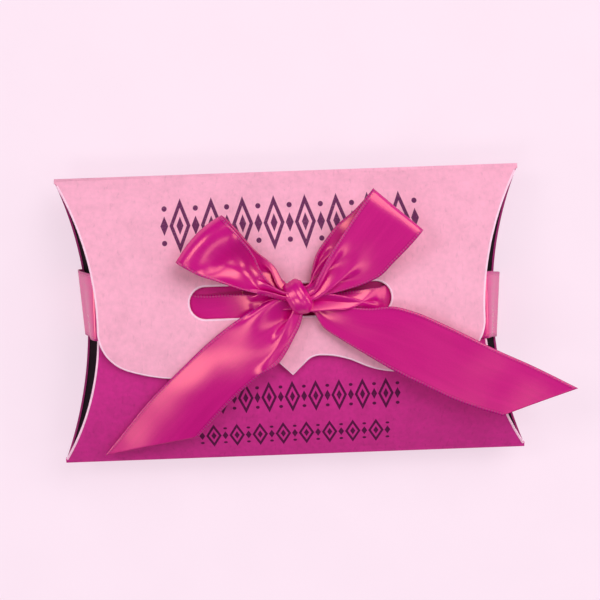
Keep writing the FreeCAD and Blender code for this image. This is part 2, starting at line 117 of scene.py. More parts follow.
class ShaderGraph:
    """Short ways to lay and join nodes in one node tree."""

    MIX_COLOURS = (6, 7)
    MIX_RESULT = 2

    def __init__(self, tree: bpy.types.NodeTree) -> None:
        """Keep the tree that nodes are laid in."""
        self.tree = tree

    def node(self, kind: str, **settings: object) -> bpy.types.Node:
        """Lay one node.

        Args:
            kind: Blender's name of the node.
            settings: Properties of the node to set.

        Returns:
            The new node.
        """
        made = self.tree.nodes.new(kind)
        for name, value in settings.items():
            setattr(made, name, value)
        return made

    def feed(self, socket: bpy.types.NodeSocket, value: Feed) -> None:
        """Join an output to a socket, or set a plain value on it.

        Args:
            socket: Socket that is fed.
            value: Output to join to it, or its plain value.
        """
        if isinstance(value, bpy.types.NodeSocket):
            self.tree.links.new(value, socket)
        else:
            socket.default_value = value

    def math(self, operation: str, first: Feed, second: Feed = 0.0) -> bpy.types.NodeSocket:
        """Work out one number from one or two.

        Args:
            operation: Blender's name of the operation.
            first: First number.
            second: Second number, where the operation has one.

        Returns:
            The output socket.
        """
        made = self.node("ShaderNodeMath", operation=operation)
        self.feed(made.inputs[0], first)
        self.feed(made.inputs[1], second)
        return made.outputs[0]

    def plus(self, first: Feed, second: Feed) -> bpy.types.NodeSocket:
        """One number added to another."""
        return self.math("ADD", first, second)

    def minus(self, first: Feed, second: Feed) -> bpy.types.NodeSocket:
        """One number less another."""
        return self.math("SUBTRACT", first, second)

    def times(self, first: Feed, second: Feed) -> bpy.types.NodeSocket:
        """One number times another."""
        return self.math("MULTIPLY", first, second)

    def over(self, first: Feed, second: Feed) -> bpy.types.NodeSocket:
        """One number divided by another."""
        return self.math("DIVIDE", first, second)

    def larger(self, first: Feed, second: Feed) -> bpy.types.NodeSocket:
        """The larger of two numbers."""
        return self.math("MAXIMUM", first, second)

    def squared(self, value: Feed) -> bpy.types.NodeSocket:
        """A number times itself."""
        return self.math("POWER", value, 2.0)

    def size(self, value: Feed) -> bpy.types.NodeSocket:
        """A number without its sign."""
        return self.math("ABSOLUTE", value)

    def ramp(
        self, value: Feed, low: float, high: float, start: float = 0.0, end: float = 1.0
    ) -> bpy.types.NodeSocket:
        """Number that eases from start to end while another goes from low to high.

        Args:
            value: Number that is read.
            low: Where the easing starts.
            high: Where it ends.
            start: Result at low.
            end: Result at high.

        Returns:
            The output socket.
        """
        made = self.node("ShaderNodeMapRange", interpolation_type="SMOOTHSTEP")
        for socket, number in zip(made.inputs, (value, low, high, start, end)):
            self.feed(socket, number)
        return made.outputs[0]

    def fade(self, value: Feed, low: float, high: float) -> bpy.types.NodeSocket:
        """Number that eases from 1 to 0 while another goes from low to high."""
        return self.ramp(value, low, high, 1.0, 0.0)

    def grain(self, vector: Feed, scale: float, detail: float = 2.0) -> bpy.types.NodeSocket:
        """Noise from 0 to 1 over a vector.

        Args:
            vector: Place that is read.
            scale: Grains per unit of the vector.
            detail: Octaves of finer noise.

        Returns:
            The output socket.
        """
        made = self.node("ShaderNodeTexNoise")
        self.feed(made.inputs["Vector"], vector)
        self.feed(made.inputs["Scale"], scale)
        self.feed(made.inputs["Detail"], detail)
        return made.outputs["Fac"]

    def mix(self, share: Feed, first: Feed, second: Feed) -> bpy.types.NodeSocket:
        """Blend two colours.

        Args:
            share: 0 for the first, 1 for the second.
            first: First colour.
            second: Second colour.

        Returns:
            The output socket.
        """
        made = self.node("ShaderNodeMix", data_type="RGBA")
        self.feed(made.inputs[0], share)
        for index, colour in zip(self.MIX_COLOURS, (first, second)):
            self.feed(made.inputs[index], colour)
        return made.outputs[self.MIX_RESULT]

    def scaled(self, vector: Feed, factor: Feed) -> bpy.types.NodeSocket:
        """A vector or colour times one number.

        Args:
            vector: Vector or colour.
            factor: Number.

        Returns:
            The output socket.
        """
        made = self.node("ShaderNodeVectorMath", operation="SCALE")
        self.feed(made.inputs[0], vector)
        self.feed(made.inputs["Scale"], factor)
        return made.outputs[0]

    def stretched(self, vector: Feed, factors: Point) -> bpy.types.NodeSocket:
        """A vector with each of its parts times its own number.

        Args:
            vector: Vector.
            factors: Numbers for its three parts.

        Returns:
            The output socket.
        """
        made = self.node("ShaderNodeVectorMath", operation="MULTIPLY")
        self.feed(made.inputs[0], vector)
        self.feed(made.inputs[1], factors)
        return made.outputs[0]

    def parts(self, vector: Feed) -> tuple[bpy.types.NodeSocket, ...]:
        """The three parts of a vector.

        Args:
            vector: Vector.

        Returns:
            The output sockets.
        """
        made = self.node("ShaderNodeSeparateXYZ")
        self.feed(made.inputs[0], vector)
        return tuple(made.outputs)

    def bump(self, height: Feed, strength: float, depth: float) -> bpy.types.NodeSocket:
        """Normal of a surface with a fine relief.

        Args:
            height: Height of the relief.
            strength: Share of the relief that shows.
            depth: Millimetres that a height of 1 stands for.

        Returns:
            The output socket.
        """
        made = self.node("ShaderNodeBump")
        self.feed(made.inputs["Strength"], strength)
        self.feed(made.inputs["Distance"], depth * MM)
        self.feed(made.inputs["Height"], height)
        return made.outputs["Normal"]


def blank_material(name: str) -> tuple[bpy.types.Material, ShaderGraph, bpy.types.Node]:
    """Start a material.

    Args:
        name: Name of the material.

    Returns:
        The material, its graph and its shader.
    """
    material = bpy.data.materials.new(name)
    material.use_nodes = True
    return material, ShaderGraph(material.node_tree), material.node_tree.nodes["Principled BSDF"]


class Effect:
    """Shader node group that several finishes share."""

    NUMBER = "NodeSocketFloat"
    VECTOR = "NodeSocketVector"
    COLOUR = "NodeSocketColor"

    def __init__(self, name: str, inputs: dict[str, str], outputs: dict[str, str]) -> None:
        """Make the group with its named sockets.

        Args:
            name: Name of the group.
            inputs: Socket kinds by input name.
            outputs: Socket kinds by output name.
        """
        self.tree = bpy.data.node_groups.new(name, "ShaderNodeTree")
        for title, kind in inputs.items():
            self.tree.interface.new_socket(title, in_out="INPUT", socket_type=kind)
        for title, kind in outputs.items():
            self.tree.interface.new_socket(title, in_out="OUTPUT", socket_type=kind)
        self.graph = ShaderGraph(self.tree)
        self.given = self.graph.node("NodeGroupInput").outputs
        self.made = self.graph.node("NodeGroupOutput").inputs
        self.draw()

    def draw(self) -> None:
        """Lay the nodes between the group's inputs and outputs."""
        raise NotImplementedError

    def place(self, graph: ShaderGraph, **values: Feed) -> bpy.types.bpy_prop_collection:
        """Use the group in a material.

        Args:
            graph: Tree of the material.
            values: Values or sockets by input name, with underscores for spaces.

        Returns:
            The outputs of the placed group.
        """
        made = graph.node("ShaderNodeGroup", node_tree=self.tree)
        for title, value in values.items():
            graph.feed(made.inputs[title.replace("_", " ")], value)
        return made.outputs


class CardFibre(Effect):
    """Mottled pulp and short fibres of uncoated card."""

    CLOUDS = 260.0
    CLOUD_DETAIL = 1.0
    CLOUD_SHARE = 0.4
    PULP = 1100.0
    PULP_DETAIL = 3.0
    PULP_SHARE = 0.6
    PULP_BAND = (0.2, 0.8)
    FIBRES = (1900.0, 600.0, 1200.0)
    FIBRE_BAND = (0.58, 0.74)
    FIBRE_SHADE = -0.2
    FIBRE_HEIGHT = 0.6
    MIDDLE_TONE = 0.5
    ROUGHNESS = (0.78, 0.92)

    def __init__(self) -> None:
        """Make the group."""
        super().__init__(
            "card_fibre",
            {"Vector": self.VECTOR, "Colour": self.COLOUR, "Mottle": self.NUMBER},
            {"Colour": self.COLOUR, "Roughness": self.NUMBER, "Height": self.NUMBER},
        )

    def draw(self) -> None:
        """Lay clouds, pulp and fibres over each other."""
        graph = self.graph
        place = self.given["Vector"]
        clouds = graph.grain(place, self.CLOUDS, self.CLOUD_DETAIL)
        pulp = graph.grain(place, self.PULP, self.PULP_DETAIL)
        fibres = graph.grain(graph.stretched(place, self.FIBRES), 1.0)
        tone = graph.plus(graph.times(clouds, self.CLOUD_SHARE), graph.times(pulp, self.PULP_SHARE))
        tone = graph.plus(tone, graph.ramp(fibres, *self.FIBRE_BAND, 0.0, self.FIBRE_SHADE))
        swing = graph.times(graph.minus(tone, self.MIDDLE_TONE), self.given["Mottle"])
        graph.feed(self.made["Colour"], graph.scaled(self.given["Colour"], graph.plus(swing, 1.0)))
        graph.feed(self.made["Roughness"], graph.ramp(pulp, *self.PULP_BAND, *self.ROUGHNESS))
        graph.feed(self.made["Height"], graph.plus(pulp, graph.times(fibres, self.FIBRE_HEIGHT)))


class LozengeBand(Effect):
    """Row of outlined lozenges, with diamonds and dots between them, on the outside of a bowed panel.

    Reaches are shares of the row's pitch, and heights are shares of half its height.
    """

    LOZENGE_REACH = 0.34
    OUTLINE_INNER = (0.62, 0.66)
    OUTLINE_OUTER = (0.97, 1.0)
    HEART_EDGE = (0.31, 0.35)
    DIAMOND_REACH = 0.13
    DIAMOND_HEIGHT = 0.36
    DIAMOND_EDGE = (0.94, 1.0)
    DOT_HEIGHT = 0.62
    DOT_SQUEEZE = 0.85
    DOT_EDGE = (0.0062, 0.0074)

    def __init__(self) -> None:
        """Make the group."""
        numbers = ("Middle X", "Middle Y", "Half Length", "Pitch", "Half Height", "Bow Radius", "Bow Axis")
        inputs = {"Vector": self.VECTOR} | {title: self.NUMBER for title in numbers}
        super().__init__("lozenge_band", inputs, {"Mask": self.NUMBER})

    def draw(self) -> None:
        """Fold the place into one cell of the row and mark its figures."""
        graph = self.graph
        given = self.given
        across, up, out = graph.parts(given["Vector"])
        run = graph.minus(across, given["Middle X"])
        cells = graph.over(run, given["Pitch"])
        near = graph.size(graph.minus(graph.math("FRACT", cells), 0.5))
        far = graph.minus(0.5, near)
        high = graph.size(graph.over(graph.minus(up, given["Middle Y"]), given["Half Height"]))
        large = graph.plus(graph.over(near, self.LOZENGE_REACH), high)
        small = graph.plus(graph.over(far, self.DIAMOND_REACH), graph.over(high, self.DIAMOND_HEIGHT))
        lift = graph.times(graph.minus(high, self.DOT_HEIGHT), self.DOT_SQUEEZE)
        dots = graph.plus(graph.squared(far), graph.squared(lift))
        ring = graph.times(graph.fade(large, *self.OUTLINE_OUTER), graph.ramp(large, *self.OUTLINE_INNER))
        lozenge = graph.larger(ring, graph.fade(large, *self.HEART_EDGE))
        between = graph.larger(graph.fade(small, *self.DIAMOND_EDGE), graph.fade(dots, *self.DOT_EDGE))
        marks = graph.larger(lozenge, between)
        inside = graph.math("LESS_THAN", graph.size(run), given["Half Length"])
        over_axis = graph.squared(graph.minus(out, given["Bow Axis"]))
        from_axis = graph.math("SQRT", graph.plus(graph.times(up, up), over_axis))
        outer = graph.math("GREATER_THAN", from_axis, given["Bow Radius"])
        graph.feed(self.made["Mask"], graph.times(graph.times(marks, inside), outer))


class SatinWeave(Effect):
    """Fine threads of satin ribbon with a row of short stitches along both edges and a line of painted
    shade just inside each of them, in millimetres.
    """

    HALF_WIDTH = RIBBON_WIDTH / 2.0
    SELVEDGE = 0.55
    SELVEDGE_SOFT = 0.05
    GROOVE_RISE = (0.30, 0.12)
    GROOVE_FALL = (0.12, -0.02)
    # Share by which the painted shade line inside each selvedge darkens the cloth.
    GROOVE_PAINTED_SHADE = 0.22
    STITCH_PITCH = 0.58
    STITCH_BAND = (-0.2, 0.6)
    STITCH_ROUGHNESS = 0.25
    STITCH_DEPTH = 0.6
    SEWN_SHARE = 0.7
    WEFT_PITCH = 0.42
    WEFT_HEIGHT = 0.05
    STREAKS = (0.08, 1.3, 1.0)
    STREAK_DETAIL = 0.5
    STREAK_BAND = (0.3, 0.7)
    STREAK_TONE = 0.16
    SLUBS = (2.4, 3.2, 1.0)
    SLUB_TONE = 0.20
    SLUB_HEIGHT = 0.12
    BASE_TONE = 0.82
    ROUGHNESS = (0.235, 0.26)

    def __init__(self) -> None:
        """Make the group."""
        super().__init__(
            "satin_weave",
            {"Place": self.VECTOR, "Colour": self.COLOUR, "Thread": self.COLOUR},
            {"Colour": self.COLOUR, "Roughness": self.NUMBER, "Height": self.NUMBER},
        )

    def draw(self) -> None:
        """Lay warp streaks, weft ribs, the stitches of the selvedge and the painted shade line inside it.
        """
        graph = self.graph
        place = self.given["Place"]
        along, across, _ = graph.parts(place)
        streaks = graph.grain(graph.stretched(place, self.STREAKS), 1.0, self.STREAK_DETAIL)
        slubs = graph.grain(graph.stretched(place, self.SLUBS), 1.0)
        weft = graph.math("SINE", graph.times(along, math.tau / self.WEFT_PITCH))
        rungs = graph.math("SINE", graph.times(along, math.tau / self.STITCH_PITCH))
        off_middle = graph.size(graph.minus(across, self.HALF_WIDTH))
        inner = self.HALF_WIDTH - self.SELVEDGE
        selvedge = graph.ramp(off_middle, inner - self.SELVEDGE_SOFT, inner + self.SELVEDGE_SOFT)
        # Painted shade: a thin line just inside each selvedge is darkened in colour only, as shade in a
        # groove would be; it has no relief.
        rise = graph.ramp(off_middle, *(inner - inset for inset in self.GROOVE_RISE))
        fall = graph.fade(off_middle, *(inner - inset for inset in self.GROOVE_FALL))
        groove_shade_mask = graph.times(rise, fall)
        stitches = graph.times(selvedge, graph.ramp(rungs, *self.STITCH_BAND))
        tone = graph.plus(graph.times(streaks, self.STREAK_TONE), graph.times(slubs, self.SLUB_TONE))
        tone = graph.minus(graph.plus(tone, self.BASE_TONE), graph.times(groove_shade_mask, self.GROOVE_PAINTED_SHADE))
        cloth = graph.scaled(self.given["Colour"], tone)
        sewn = graph.times(stitches, self.SEWN_SHARE)
        graph.feed(self.made["Colour"], graph.mix(sewn, cloth, self.given["Thread"]))
        rough = graph.ramp(streaks, *self.STREAK_BAND, *self.ROUGHNESS)
        rough = graph.plus(rough, graph.times(stitches, self.STITCH_ROUGHNESS))
        graph.feed(self.made["Roughness"], rough)
        height = graph.plus(graph.times(weft, self.WEFT_HEIGHT), graph.times(slubs, self.SLUB_HEIGHT))
        height = graph.minus(height, graph.times(stitches, self.STITCH_DEPTH))
        graph.feed(self.made["Height"], height)


@dataclass(frozen=True)
class BoxSizes:
    """Sizes of the folded card, in millimetres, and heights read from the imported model."""

    length: float = 90.0
    height: float = 55.0
    card: float = 0.5
    front_rise: float = 9.0
    flap_rise: float = 10.3
    front_recess: float = 8.2
    back_rise: float = 6.5
    mouth: float = 14.0

    @property
    def crease_height(self) -> float:
        """Height of the creases over the floor."""
        low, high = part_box("top_crease")
        return (low.z + high.z) / 2.0 / MM

    def bow_height(self, rise: float, across: float, offset: float = 0.0) -> float:
        """Height of a bowed panel over the creases.

        Args:
            rise: Rise of the panel's middle surface.
            across: Place across the box, from its middle.
            offset: Distance outwards from the middle surface.

        Returns:
            The height in millimetres.
        """
        radius = arc_radius(self.height / 2.0, rise)
        return math.sqrt((radius + offset) ** 2 - across ** 2) - radius + rise

    def end_edge(self, recess: float, across: float) -> float:
        """Distance from the middle to a hollow end edge, at a place across the box."""
        radius = arc_radius(self.height / 2.0, recess)
        return self.length / 2.0 - recess + radius - math.sqrt(radius ** 2 - across ** 2)

    def world(self, point: Vector) -> Vector:
        """Place in the model's frame, in metres, of a point over the middle of the crease plane."""
        return Vector((point.x, point.y, point.z + self.crease_height)) * MM


@dataclass(frozen=True)
class PrintedRow:
    """One printed row of ornament, in millimetres on the panel seen from the front."""

    middle: tuple[float, float]
    half_length: float
    pitch: float
    half_height: float


@dataclass(frozen=True)
class CardFinish:
    """Uncoated card in one colour, with rows of printed ornament where it has them."""

    name: str
    colour: Colour
    mottle: float
    gloss: float = 0.22
    relief: float = 0.25
    relief_depth: float = 0.05
    ink: Colour = (0.0, 0.0, 0.0)
    ink_grain: float = 2600.0
    ink_band: tuple[float, float] = (0.25, 0.5)
    ink_cover: tuple[float, float] = (0.86, 0.97)
    rise: float = BoxSizes.front_rise
    rows: tuple[PrintedRow, ...] = ()

    def make(self, fibre: CardFibre, band: LozengeBand, sizes: BoxSizes) -> bpy.types.Material:
        """Build the material.

        Args:
            fibre: Shared fibre effect.
            band: Shared ornament effect.
            sizes: Sizes of the box, for the bow of the printed panel.

        Returns:
            The material.
        """
        material, graph, shader = blank_material(self.name)
        place = graph.node("ShaderNodeTexCoord").outputs["Object"]
        card = fibre.place(graph, Vector=place, Colour=(*self.colour, 1.0), Mottle=self.mottle)
        colour = card["Colour"]
        bow_radius = arc_radius(sizes.height / 2.0, self.rise)
        for row in self.rows:
            mask = band.place(
                graph,
                Vector=graph.scaled(place, 1.0 / MM),
                Middle_X=row.middle[0],
                Middle_Y=row.middle[1],
                Half_Length=row.half_length,
                Pitch=row.pitch,
                Half_Height=row.half_height,
                Bow_Radius=bow_radius,
                Bow_Axis=sizes.crease_height + self.rise - bow_radius,
            )["Mask"]
            worn = graph.ramp(graph.grain(place, self.ink_grain), *self.ink_band, *self.ink_cover)
            colour = graph.mix(graph.times(mask, worn), colour, (*self.ink, 1.0))
        graph.feed(shader.inputs["Base Color"], colour)
        graph.feed(shader.inputs["Roughness"], card["Roughness"])
        graph.feed(shader.inputs["Normal"], graph.bump(card["Height"], self.relief, self.relief_depth))
        shader.inputs["Specular IOR Level"].default_value = self.gloss
        return material


@dataclass(frozen=True)
class SatinFinish:
    """Woven satin ribbon: deep magenta threads with a warm gloss along the warp."""

    name: str = "magenta_satin"
    colour: Colour = (0.63, 0.001, 0.236)
    thread: Colour = (0.20, 0.002, 0.17)
    gloss: float = 1.0
    gloss_tint: Colour = (1.0, 0.33, 0.27)
    gloss_index: float = 1.78
    gloss_stretch: float = 0.5
    relief: float = 0.22
    relief_depth: float = 0.08

    def make(self, weave: SatinWeave) -> bpy.types.Material:
        """Build the material.

        Args:
            weave: Shared weave effect.

        Returns:
            The material.
        """
        material, graph, shader = blank_material(self.name)
        flat = graph.node("ShaderNodeUVMap", uv_map=RIBBON_MAP).outputs["UV"]
        cloth = weave.place(
            graph,
            Place=graph.scaled(flat, MAP_SPAN),
            Colour=(*self.colour, 1.0),
            Thread=(*self.thread, 1.0),
        )
        tangent = graph.node("ShaderNodeTangent", direction_type="UV_MAP", uv_map=RIBBON_MAP)
        graph.feed(shader.inputs["Base Color"], cloth["Colour"])
        graph.feed(shader.inputs["Roughness"], cloth["Roughness"])
        graph.feed(shader.inputs["Normal"], graph.bump(cloth["Height"], self.relief, self.relief_depth))
        graph.feed(shader.inputs["Tangent"], tangent.outputs["Tangent"])
        shader.inputs["Specular IOR Level"].default_value = self.gloss
        shader.inputs["Specular Tint"].default_value = (*self.gloss_tint, 1.0)
        shader.inputs["IOR"].default_value = self.gloss_index
        shader.inputs["Anisotropic"].default_value = self.gloss_stretch
        return material


@dataclass(frozen=True)
class FloorFinish:
    """Plain pale floor that stays even behind the object and keeps its shadow."""

    name: str = "pale_floor"
    colour: Colour = (1.0, 0.81, 0.925)
    even_share: float = 0.72
    clouds: float = 60.0
    cloud_band: tuple[float, float] = (0.2, 0.8)
    cloud_tones: tuple[float, float] = (0.985, 1.0)
    roughness: float = 0.9
    gloss: float = 0.1

    def make(self) -> bpy.types.Material:
        """Build the material, part lit and part even for what looks straight at it.

        Returns:
            The material.
        """
        material, graph, shader = blank_material(self.name)
        place = graph.node("ShaderNodeTexCoord").outputs["Object"]
        tone = graph.ramp(graph.grain(place, self.clouds), *self.cloud_band, *self.cloud_tones)
        colour = graph.scaled(self.colour, tone)
        graph.feed(shader.inputs["Base Color"], colour)
        shader.inputs["Roughness"].default_value = self.roughness
        shader.inputs["Specular IOR Level"].default_value = self.gloss
        even = graph.node("ShaderNodeEmission")
        graph.feed(even.inputs["Color"], colour)
        light_path = graph.node("ShaderNodeLightPath").outputs
        seen = graph.larger(light_path["Is Camera Ray"], light_path["Is Glossy Ray"])
        seen = graph.larger(seen, light_path["Is Transmission Ray"])
        blend = graph.node("ShaderNodeMixShader")
        graph.feed(blend.inputs[0], graph.times(seen, self.even_share))
        graph.feed(blend.inputs[1], shader.outputs["BSDF"])
        graph.feed(blend.inputs[2], even.outputs["Emission"])
        graph.feed(material.node_tree.nodes["Material Output"].inputs["Surface"], blend.outputs["Shader"])
        return material


class SmoothLine:
    """Smooth line through given points, read by its share of length."""

    STEPS = 20
    LEAST_STEP = 1e-9

    def __init__(self, points: Sequence[Vector]) -> None:
        """Draw the line.

        Args:
            points: Points that the line passes through, in millimetres.
        """
        gaps = [(last - first).length for first, last in zip(points, points[1:])]
        slopes = [(last - first) / gap for first, last, gap in zip(points, points[1:], gaps)]
        leans = [slopes[0]]
        for index in range(1, len(slopes)):
            before, after = gaps[index - 1], gaps[index]
            leans.append((slopes[index - 1] * after + slopes[index] * before) / (before + after))
        leans.append(slopes[-1])
        self.spots = [points[0]]
        for index, gap in enumerate(gaps):
            reach = gap / 3.0
            start, end = points[index], points[index + 1]
            handles = (start + leans[index] * reach, end - leans[index + 1] * reach)
            self.spots += interpolate_bezier(start, *handles, end, self.STEPS + 1)[1:]
        steps = [(last - first).length for first, last in zip(self.spots, self.spots[1:])]
        self.reach = [0.0, *accumulate(steps)]

    @property
    def length(self) -> float:
        """Length of the line in millimetres."""
        return self.reach[-1]

    def at(self, along: float) -> Vector:
        """Point at a share of the line's length.

        Args:
            along: From 0 at the start to 1 at the end.

        Returns:
            The point, in millimetres.
        """
        wanted = min(max(along, 0.0), 1.0) * self.length
        index = min(max(bisect_left(self.reach, wanted), 1), len(self.spots) - 1)
        low, high = self.reach[index - 1], self.reach[index]
        share = (wanted - low) / max(high - low, self.LEAST_STEP)
        return self.spots[index - 1].lerp(self.spots[index], share)


class PieceMaker:
    """Puts finished meshes into the scene and hangs them on their bodies."""

    def add(
        self, name: str, mesh: bpy.types.Mesh, material: bpy.types.Material, body: Body, slot: Slot
    ) -> bpy.types.Object:
        """Make a piece of a mesh.

        Args:
            name: Name of the piece.
            mesh: Its mesh, in place.
            material: Its finish.
            body: Body that it rides on.
            slot: Not used.

        Returns:
            The new object.
        """
        mesh.materials.append(material)
        for face in mesh.polygons:
            face.use_smooth = True
        piece = bpy.data.objects.new(name, mesh)
        bpy.context.scene.collection.objects.link(piece)
        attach(piece, body.value)
        LOG.info("%s: %d faces on %s", name, len(mesh.polygons), body.value)
        return piece


@dataclass
class RibbonStretch:
    """One stretch of the ribbon, cut flat and then laid in its place."""

    name: str
    body: Body
    held: Held
    stands_for: tuple[str, ...]
    rests_on: tuple[str, ...]
    sizes: BoxSizes
    width: float = RIBBON_WIDTH
    thickness: float = 0.2
    slant: float = 0.0
    step: float = 0.42
    rows: int = 28

    @property
    def length(self) -> float:
        """Flat length of the stretch in millimetres."""
        raise NotImplementedError

    def lay(self, along: float, across: float) -> Vector:
        """Place of a point of the flat ribbon.

        Args:
            along: Share of the length, from 0 to 1.
            across: Share of the half width, from -1 to 1.

        Returns:
            The point over the crease plane, in millimetres.
        """
        raise NotImplementedError

    def flat_cut(self) -> bmesh.types.BMesh:
        """Cut the flat strip, with its end on the slant, and map it in real lengths.

        Returns:
            The strip, with its start at the origin.
        """
        strip = bmesh.new()
        flat = strip.loops.layers.uv.new(RIBBON_MAP)
        columns = int(self.length / self.step)
        bmesh.ops.create_grid(strip, x_segments=columns, y_segments=self.rows, size=0.5)
        bmesh.ops.scale(strip, vec=(self.length, self.width, 1.0), verts=strip.verts)
        bmesh.ops.translate(strip, vec=(self.length / 2.0, 0.0, 0.0), verts=strip.verts)
        if self.slant:
            for vert in strip.verts:
                cut = self.length - abs(self.slant) / 2.0 - self.slant * vert.co.y / self.width
                vert.co.x *= cut / self.length
        for face in strip.faces:
            for loop in face.loops:
                spot = loop.vert.co
                loop[flat].uv = (spot.x / MAP_SPAN, (spot.y + self.width / 2.0) / MAP_SPAN)
        return strip

    def build(self, maker: PieceMaker, material: bpy.types.Material) -> bpy.types.Object:
        """Cut the strip, lay it and give it its thickness.

        Args:
            maker: Maker of pieces.
            material: Satin.

        Returns:
            The piece.
        """
        strip = self.flat_cut()
        for vert in strip.verts:
            along = vert.co.x / self.length
            across = 2.0 * vert.co.y / self.width
            vert.co = self.sizes.world(self.lay(along, across))
        mesh = bpy.data.meshes.new(self.name)
        strip.to_mesh(mesh)
        strip.free()
        piece = maker.add(self.name, mesh, material, self.body, Slot.RIBBON)
        cloth = piece.modifiers.new("thickness", "SOLIDIFY")
        cloth.thickness = self.thickness * MM
        cloth.offset = 0.0
        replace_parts(piece, *self.stands_for)
        cut = self.length * self.width - abs(self.slant) * self.width / 2.0
        self.length * MM
        return piece


@dataclass
class TiedStretch(RibbonStretch):
    """Stretch between two edge lines, gathered into leaning pleats where the edges come together.

    The first edge is the one on the left hand of someone who walks along the stretch, on its outer face.
    """

    first_edge: tuple[Point, ...] = ()
    second_edge: tuple[Point, ...] = ()
    pleats: int = 4
    pleat_phase: float = 0.0
    pleat_lean: float = 50.0
    pleats_hold: float = 0.2
    pleats_end: float = 0.7
    pleats_up: bool = False
    gather: float = 0.85
    even_margin: float = 0.2
    two_necks: bool = False
    cup: float = 0.0
    belly: float = 0.0
    belly_start: float = 0.78
    hollow: float = 0.0
    hollow_fall: tuple[float, float] = (0.25, 0.58)
    hollow_rise: tuple[float, float] = (0.62, 0.92)
    curl: float = 0.0
    curl_hold: float = 0.6
    curl_end: float = 0.3
    curl_margin: float = 0.34
    curl_power: float = 1.5
    ripple: float = 0.10
    ripple_span: float = 7.0
    way_step: float = 0.01
    edges: tuple[SmoothLine, SmoothLine] = field(init=False)

    def __post_init__(self) -> None:
        """Draw the two edge lines."""
        lines = (self.first_edge, self.second_edge)
        self.edges = tuple(SmoothLine([Vector(spot) for spot in line]) for line in lines)

    @property
    def length(self) -> float:
        """Flat length, as the mean of the two edges."""
        return (self.edges[0].length + self.edges[1].length) / 2.0

    def middle(self, along: float) -> Vector:
        """Point midway between the edges."""
        return self.edges[0].at(along).lerp(self.edges[1].at(along), 0.5)

    def from_neck(self, along: float) -> float:
        """Share of the way from the nearest neck, up to 1 at a loop's fold or a tail's end."""
        return 1.0 - abs(2.0 * along - 1.0) if self.two_necks else along

    def spread(self, along: float) -> tuple[Vector, Vector, Vector]:
        """Edges of the stretch at one place along it.

        Args:
            along: Share of the length, from 0 to 1.

        Returns:
            The points on the first and the second edge, and the way out of the cloth.
        """
        first, second = (edge.at(along) for edge in self.edges)
        way = self.middle(along + self.way_step) - self.middle(along - self.way_step)
        return first, second, (second - first).cross(way).normalized()

    def pleat(self, along: float, across: float, span: float) -> tuple[float, float]:
        """Shift of the cloth by its pleats, which take up the width that the edges leave over.

        Args:
            along: Share of the length, from 0 to 1.
            across: Share of the half width, from -1 to 1.
            span: Distance between the edges.

        Returns:
            The shift outwards and the shift towards the second edge.
        """
        spare = math.sqrt(max(self.width ** 2 - span ** 2, 0.0))
        depth = self.gather * spare / (2.0 * self.pleats)
        depth *= 1.0 - eased(self.from_neck(along), self.pleats_hold, self.pleats_end)
        wave = depth * math.sin(math.pi * self.pleats * (across + 1.0) / 2.0 + self.pleat_phase)
        wave *= eased(1.0 - abs(across), 0.0, self.even_margin)
        lean = math.radians(self.pleat_lean)
        lift = abs(wave) if self.pleats_up else wave
        return lift * math.cos(lean), wave * math.sin(lean)

    def bowed(self, along: float, across: float) -> float:
        """Rise of the cloth's middle over its edges: cupped, bellied at a loop's fold and hollow before it.

        Args:
            along: Share of the length, from 0 to 1.
            across: Share of the half width, from -1 to 1.

        Returns:
            The rise in millimetres.
        """
        rise = self.cup
        if self.two_necks:
            share = self.from_neck(along)
            rise += self.belly * eased(share, self.belly_start, 1.0)
            if along < 0.5:
                sunk = eased(share, *self.hollow_fall) * (1.0 - eased(share, *self.hollow_rise))
                rise -= self.hollow * sunk
        return rise * (1.0 - across ** 2)

    def curled(self, along: float, across: float) -> float:
        """Rise of an edge that is turned up near the start: the second edge where curl is over 0.

        Args:
            along: Share of the length, from 0 to 1.
            across: Share of the half width, from -1 to 1.

        Returns:
            The rise in millimetres.
        """
        if across * self.curl <= 0.0:
            return 0.0
        turned = max((abs(across) - 1.0 + self.curl_margin) / self.curl_margin, 0.0)
        fading = 1.0 - eased(along, self.curl_end * self.curl_hold, self.curl_end)
        return abs(self.curl) * turned ** self.curl_power * fading

    def uneven(self, along: float, across: float, span: float) -> float:
        """Small rise of the cloth, which is never quite even.

        Args:
            along: Share of the length, from 0 to 1.
            across: Share of the half width, from -1 to 1.
            span: Width of one wave across the cloth.

        Returns:
            The rise in millimetres.
        """
        flat = (along * self.length / self.ripple_span, across * self.width / 2.0 / span, len(self.name))
        return self.ripple * noise.noise(Vector(flat))

    def lay(self, along: float, across: float) -> Vector:
        """Place of a point of the flat ribbon.

        Args:
            along: Share of the length, from 0 to 1.
            across: Share of the half width, from -1 to 1.

        Returns:
            The point over the crease plane, in millimetres.
        """
        first, second, outward = self.spread(along)
        chord = second - first
        lift, slide = self.pleat(along, across, chord.length)
        lift += self.bowed(along, across) + self.curled(along, across)
        lift += self.uneven(along, across, self.ripple_span)
        share = (across + 1.0) / 2.0
        return first.lerp(second, share) + outward * lift + chord.normalized() * slide


@dataclass
class RolledWrap(TiedStretch):
    """Short wrap of ribbon, rolled lengthwise so that its margins lie under its creased middle."""

    roll: float = 0.45
    roll_turns: tuple[float, float] = (0.3, 1.7)
    crease_span: float = 0.65

    def lay(self, along: float, across: float) -> Vector:
        """Place of a point of the flat ribbon.

        Args:
            along: Share of the length, from 0 to 1.
            across: Share of the half width, from -1 to 1.

        Returns:
            The point over the crease plane, in millimetres.
        """
        first, second, outward = self.spread(along)
        turns = abs(across) * self.width / (second - first).length
        shift = math.copysign(math.sin(turns * math.pi / 2.0), across) / 2.0
        layers = 1.0 if across < 0.0 else 2.0
        lift = self.cup * (1.0 - 4.0 * shift ** 2) - self.roll * layers * eased(turns, *self.roll_turns)
        lift += self.uneven(along, across, self.crease_span)
        return first.lerp(second, 0.5 + shift) + outward * lift


